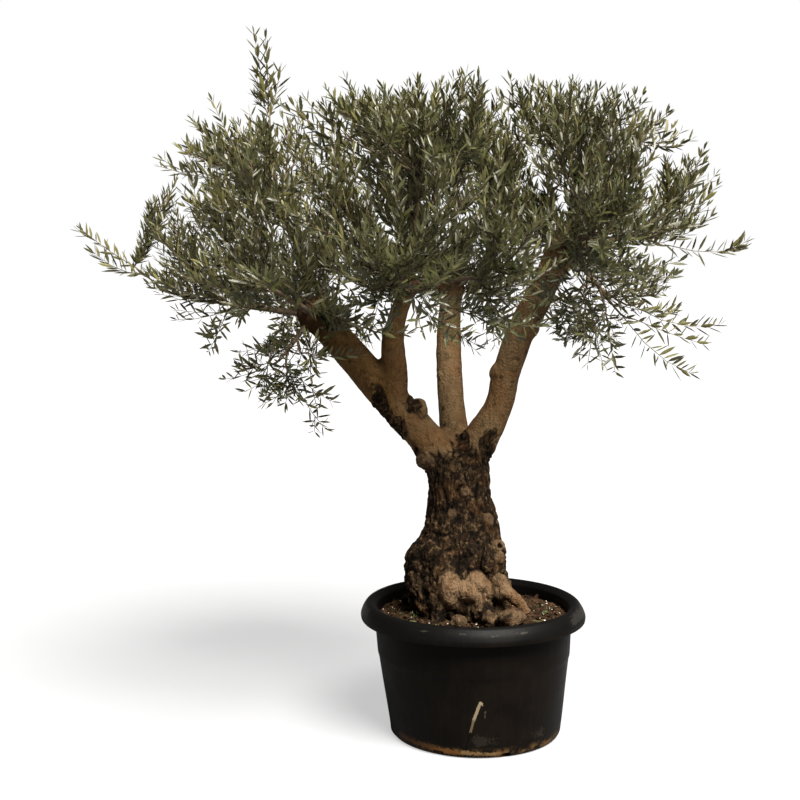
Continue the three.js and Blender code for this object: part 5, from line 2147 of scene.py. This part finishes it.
@dataclass
class Soil:
    """The soil that fills the pot, with the bark chips, grit and fallen leaves that lie on it."""

    radius: float = 314
    edge: float = 396
    shoulder: float = 400
    crown: float = 404
    flat: float = 215  # the soil is level this far out
    bend: float = 255  # and as high as its shoulder here
    floor: float = 10.5
    chips: int = 1500
    grains: int = 260
    fallen: int = 110
    weeds: tuple[Point, ...] = ((-190, -100, 18), (249, -20, 22), (232, -46, 16), (120, -236, 12))

    def level(self, radius: Array) -> Array:
        """Return the soil's height at distances from the middle, before its crumbs."""
        heights = [self.crown, self.crown, self.shoulder, self.edge]
        return np.interp(radius, [0, self.flat, self.bend, self.radius], heights)

    def build(self) -> Piece:
        """Build the crumbled top and the hidden body of the soil."""
        rings, sides = 90, 150
        radius = np.linspace(0, self.radius, rings + 1)[1:]
        walls = [(0, self.floor), (272, self.floor), (307, 361), (313.6, 371)]
        inward = [(r, self.level(r)) for r in radius[::-1]]
        points, triangles = lathe(np.array([*walls, *inward, (0, self.crown)]), sides)
        top = ease(points[:, 2], 380, 394)
        crumbs = 5.0 * lumps(points, 34, 1.4) + 3.2 * lumps(points, 13, 2.4) + 2.0 * lumps(points, 6, 3.4)
        edge = ease(lengths(points[:, :2]), self.radius, self.radius - 9)
        points[:, 2] += top * (crumbs * edge - 1.0)
        shape = Shape()
        shape.add(points, triangles)
        return shape.build("soil_body")

    def _places(self, count: int, rng: Draws, lift: float) -> Array:
        """Scatter places over the soil, clear of the trunk's middle."""
        radius = self.radius * np.sqrt(rng.uniform(0.12, 0.94, count))
        turn = rng.uniform(0, FULL_TURN, count)
        height = self.level(radius) + rng.uniform(-1.5, lift, count)
        return np.stack([radius * np.cos(turn), radius * np.sin(turn), height], 1)

    def litter(self, leafage: Leafage) -> Piece:
        """Strew fallen leaves over the soil, and let a few small weeds grow on it.

        Args:
            leafage: shapes the leaves.

        Returns:
            The piece, with finish 0 on the weeds and 1 on the fallen leaves.
        """
        rng, shape = np.random.default_rng(8), Shape()
        for x, y, tall in self.weeds:
            foot = np.tile([x, y, float(self.level(math.hypot(x, y)))], (4, 1))
            lean = rng.normal(0, 0.5, (4, 3)) * [1, 1, 0] + UP
            tip = foot + unit(lean) * tall
            none = np.zeros(4)
            side = square_to(rng.normal(0, 1, (4, 3)), unit(lean))
            stalks = Shoots(foot, tip, none, side, none.astype(int), none + 0.3, none > 0)
            leafage.add_leaves(shape, stalks, rng, lambda points: np.ones(len(points), bool))
        shape.finishes = [np.zeros(len(part), int) for part in shape.finishes]
        place = self._places(self.fallen, rng, 4)
        heading = unit(rng.normal(0, 1, (self.fallen, 3)) * [1, 1, 0.12])
        out, tips = square_to(UP + heading * 0.1, heading), np.full(self.fallen, leafage.at_tip)
        blades = leafage.blades(place, heading, out, tips, np.ones(self.fallen), rng)
        shape.add_each(blades, LEAF_FACES, 1)
        return shape.build("leaf_litter")

    def scatter(self, shape: Shape, count: int, sizes: Point, spread: float, seed: int) -> None:
        """Scatter small angular scraps over the soil.

        Args:
            shape: takes the scraps.
            count: how many.
            sizes: their usual half-length, half-width and half-thickness.
            spread: how much they differ in size.
            seed: gives the differences.
        """
        rng = np.random.default_rng(seed)
        middle = self._places(count, rng, 3.5)
        along = unit(rng.normal(0, 1, (count, 3)) * [1, 1, 0.28])
        across = square_to(rng.normal(0, 1, (count, 3)) * [1, 1, 0.4], along)
        half = np.array(sizes) * rng.uniform(1 - spread, 1 + spread, (count, 3))
        corners = np.array(SCRAP_CORNERS) * rng.uniform(0.6, 1.2, (count, 8, 3)) * half[:, None, :]
        axes = np.stack([along, across, np.cross(along, across)], 1)
        shape.add_each(middle[:, None, :] + corners @ axes, SCRAP_FACES)


# ---------------------------------------------------------------- studio


@dataclass
class Studio:
    """The pale floor, the soft light and the camera."""

    eye: Point = (0, -4560, 1605)
    pitch: float = 6.19  # degrees down
    yaw: float = 3.03  # degrees to the left
    lens: float = 63.0
    sky: float = 0.14
    sun: float = 14.3
    sun_spread: float = 34.0  # degrees
    sun_from: Point = (0.45, -0.7, 1.1)
    backdrop: float = 1.0
    floor: Colour = (0.155, 0.158, 0.166)
    floor_glow: float = 0.54  # how much the floor shows lighter than it lights the plant

    def build(self) -> None:
        """Build the floor, the light and the camera."""
        self._floor()
        self._sky()
        self._sun()
        self._camera()

    def _floor(self) -> None:
        """Lay the floor."""
        shape = Shape()
        reach = 60000.0
        corners = np.array([[-1, -1, 0], [1, -1, 0], [1, 1, 0], [-1, 1, 0]]) * reach
        shape.add(corners, np.array([[0, 1, 2], [0, 2, 3]]))
        floor = shape.build("floor", smooth=False)
        material = bpy.data.materials.new("pale_floor")
        material.use_nodes = True
        s = Sketch(material.node_tree)
        glow = s.times(s.add("LightPath").outputs["Is Camera Ray"], self.floor_glow)
        plain = {"Base Color": self.floor, "Roughness": 0.9, "Specular IOR Level": 0.1}
        lit = {"Emission Color": (1.0, 1.0, 1.0), "Emission Strength": glow}
        shader = s.add("BsdfPrincipled", plain | lit)
        s.add("OutputMaterial", {"Surface": shader.outputs[0]})
        floor.data.materials.append(material)

    def _sky(self) -> None:
        """Set the soft even light all round, before a white backdrop."""
        world = bpy.data.worlds.new("studio")
        world.use_nodes = True
        s = Sketch(world.node_tree)
        light = s.add("Background", {"Color": (1.0, 0.99, 0.97), "Strength": self.sky})
        seen = s.add("Background", {"Color": (1.0, 1.0, 1.0), "Strength": self.backdrop})
        straight = s.add("LightPath").outputs["Is Camera Ray"]
        mixed = s.add("MixShader", {0: straight, 1: light.outputs[0], 2: seen.outputs[0]})
        s.add("OutputWorld", {"Surface": mixed.outputs[0]})
        bpy.context.scene.world = world

    def _sun(self) -> None:
        """Hang a broad soft lamp high in front, to the right."""
        lamp = bpy.data.lights.new("key_light", "SUN")
        lamp.energy, lamp.angle = self.sun, math.radians(self.sun_spread)
        lamp.color = (1.0, 0.965, 0.91)
        holder = in_scene("key_light", lamp)
        holder.location = Vector(self.sun_from) * 4
        holder.rotation_euler = (-Vector(self.sun_from)).to_track_quat("-Z", "Y").to_euler()

    def _camera(self) -> None:
        """Place the camera."""
        camera = bpy.data.cameras.new("camera")
        camera.lens, camera.sensor_width = self.lens, 36.0
        camera.clip_start, camera.clip_end = 0.05, 200
        holder = in_scene("camera", camera)
        holder.location = Vector(self.eye) * MM
        down, left = math.radians(self.pitch), math.radians(self.yaw)
        ahead = Vector((-math.sin(left) * math.cos(down), math.cos(left) * math.cos(down), -math.sin(down)))
        holder.rotation_euler = ahead.to_track_quat("-Z", "Y").to_euler()
        bpy.context.scene.camera = holder
        bpy.context.scene.view_settings.view_transform = "Standard"


# ---------------------------------------------------------------- putting it together


class Slot(Enum):
    """The record's material slots, one named for each piece; nothing reads them."""

    POT = "pot"
    SOIL = "soil"
    TRUNK = "trunk_bark"
    BOUGH = "bough_bark"
    FOLIAGE = "foliage"


def hand_over(piece: Piece, slot: Slot, finishes: Sequence[Material], nodes: Names = ()) -> None:
    """Dress a piece, let it ride on the part and hide the solids that it replaces.

    Args:
        piece: the piece.
        slot: not used.
        finishes: its materials, in the order that its faces number them.
        nodes: the solids that it replaces.
    """
    piece.data.materials.clear()
    for finish in finishes:
        piece.data.materials.append(finish)
    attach(piece, BODY)
    if nodes:
        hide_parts(*nodes)
    piece.data.calc_loop_triangles()
    LOG.info("%s: %d triangles", piece.name, len(piece.data.loop_triangles))


def main() -> None:
    """Build the studio, then the pot, the soil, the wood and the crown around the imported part."""
    logging.basicConfig(level=logging.INFO, format="%(name)s %(message)s")
    for spare in list(bpy.data.objects):
        bpy.data.objects.remove(spare)
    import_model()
    kit = ShaderKit()
    Studio().build()
    hand_over(Pot().build(), Slot.POT, [PotFinish("worn_black_plastic").dress(kit)], ["pot"])
    soil = Soil()
    hand_over(soil.build(), Slot.SOIL, [EarthFinish("damp_soil").dress(kit)], ["soil"])
    chips = Shape()
    soil.scatter(chips, soil.chips, (11, 5, 2.5), 0.6, 5)
    hand_over(chips.build("bark_chips", smooth=False), Slot.SOIL, [CHIP_FINISH.dress(kit)])
    grains = Shape()
    soil.scatter(grains, soil.grains, (2.6, 2.2, 1.8), 0.5, 6)
    hand_over(grains.build("pale_grit"), Slot.SOIL, [GRIT_FINISH.dress(kit)])
    litter_finishes = [finish.dress(kit) for finish in LITTER_FINISHES]
    hand_over(soil.litter(Leafage(to_light=0.0)), Slot.SOIL, litter_finishes)
    bark = Wood().build()
    hand_over(bark, Slot.TRUNK, [BarkFinish("olive_bark").dress(kit)], ["trunk", *BOUGHS])
    leaf_finishes = [finish.dress(kit) for finish in LEAF_FINISHES]
    twig_finishes = [finish.dress(kit) for finish in TWIG_FINISHES]
    for leaves, twigs, masses in Crown().build():
        hand_over(leaves, Slot.FOLIAGE, leaf_finishes, masses)
        hand_over(twigs, Slot.BOUGH, twig_finishes, masses)
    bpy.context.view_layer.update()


if __name__ == "__main__":
    main()
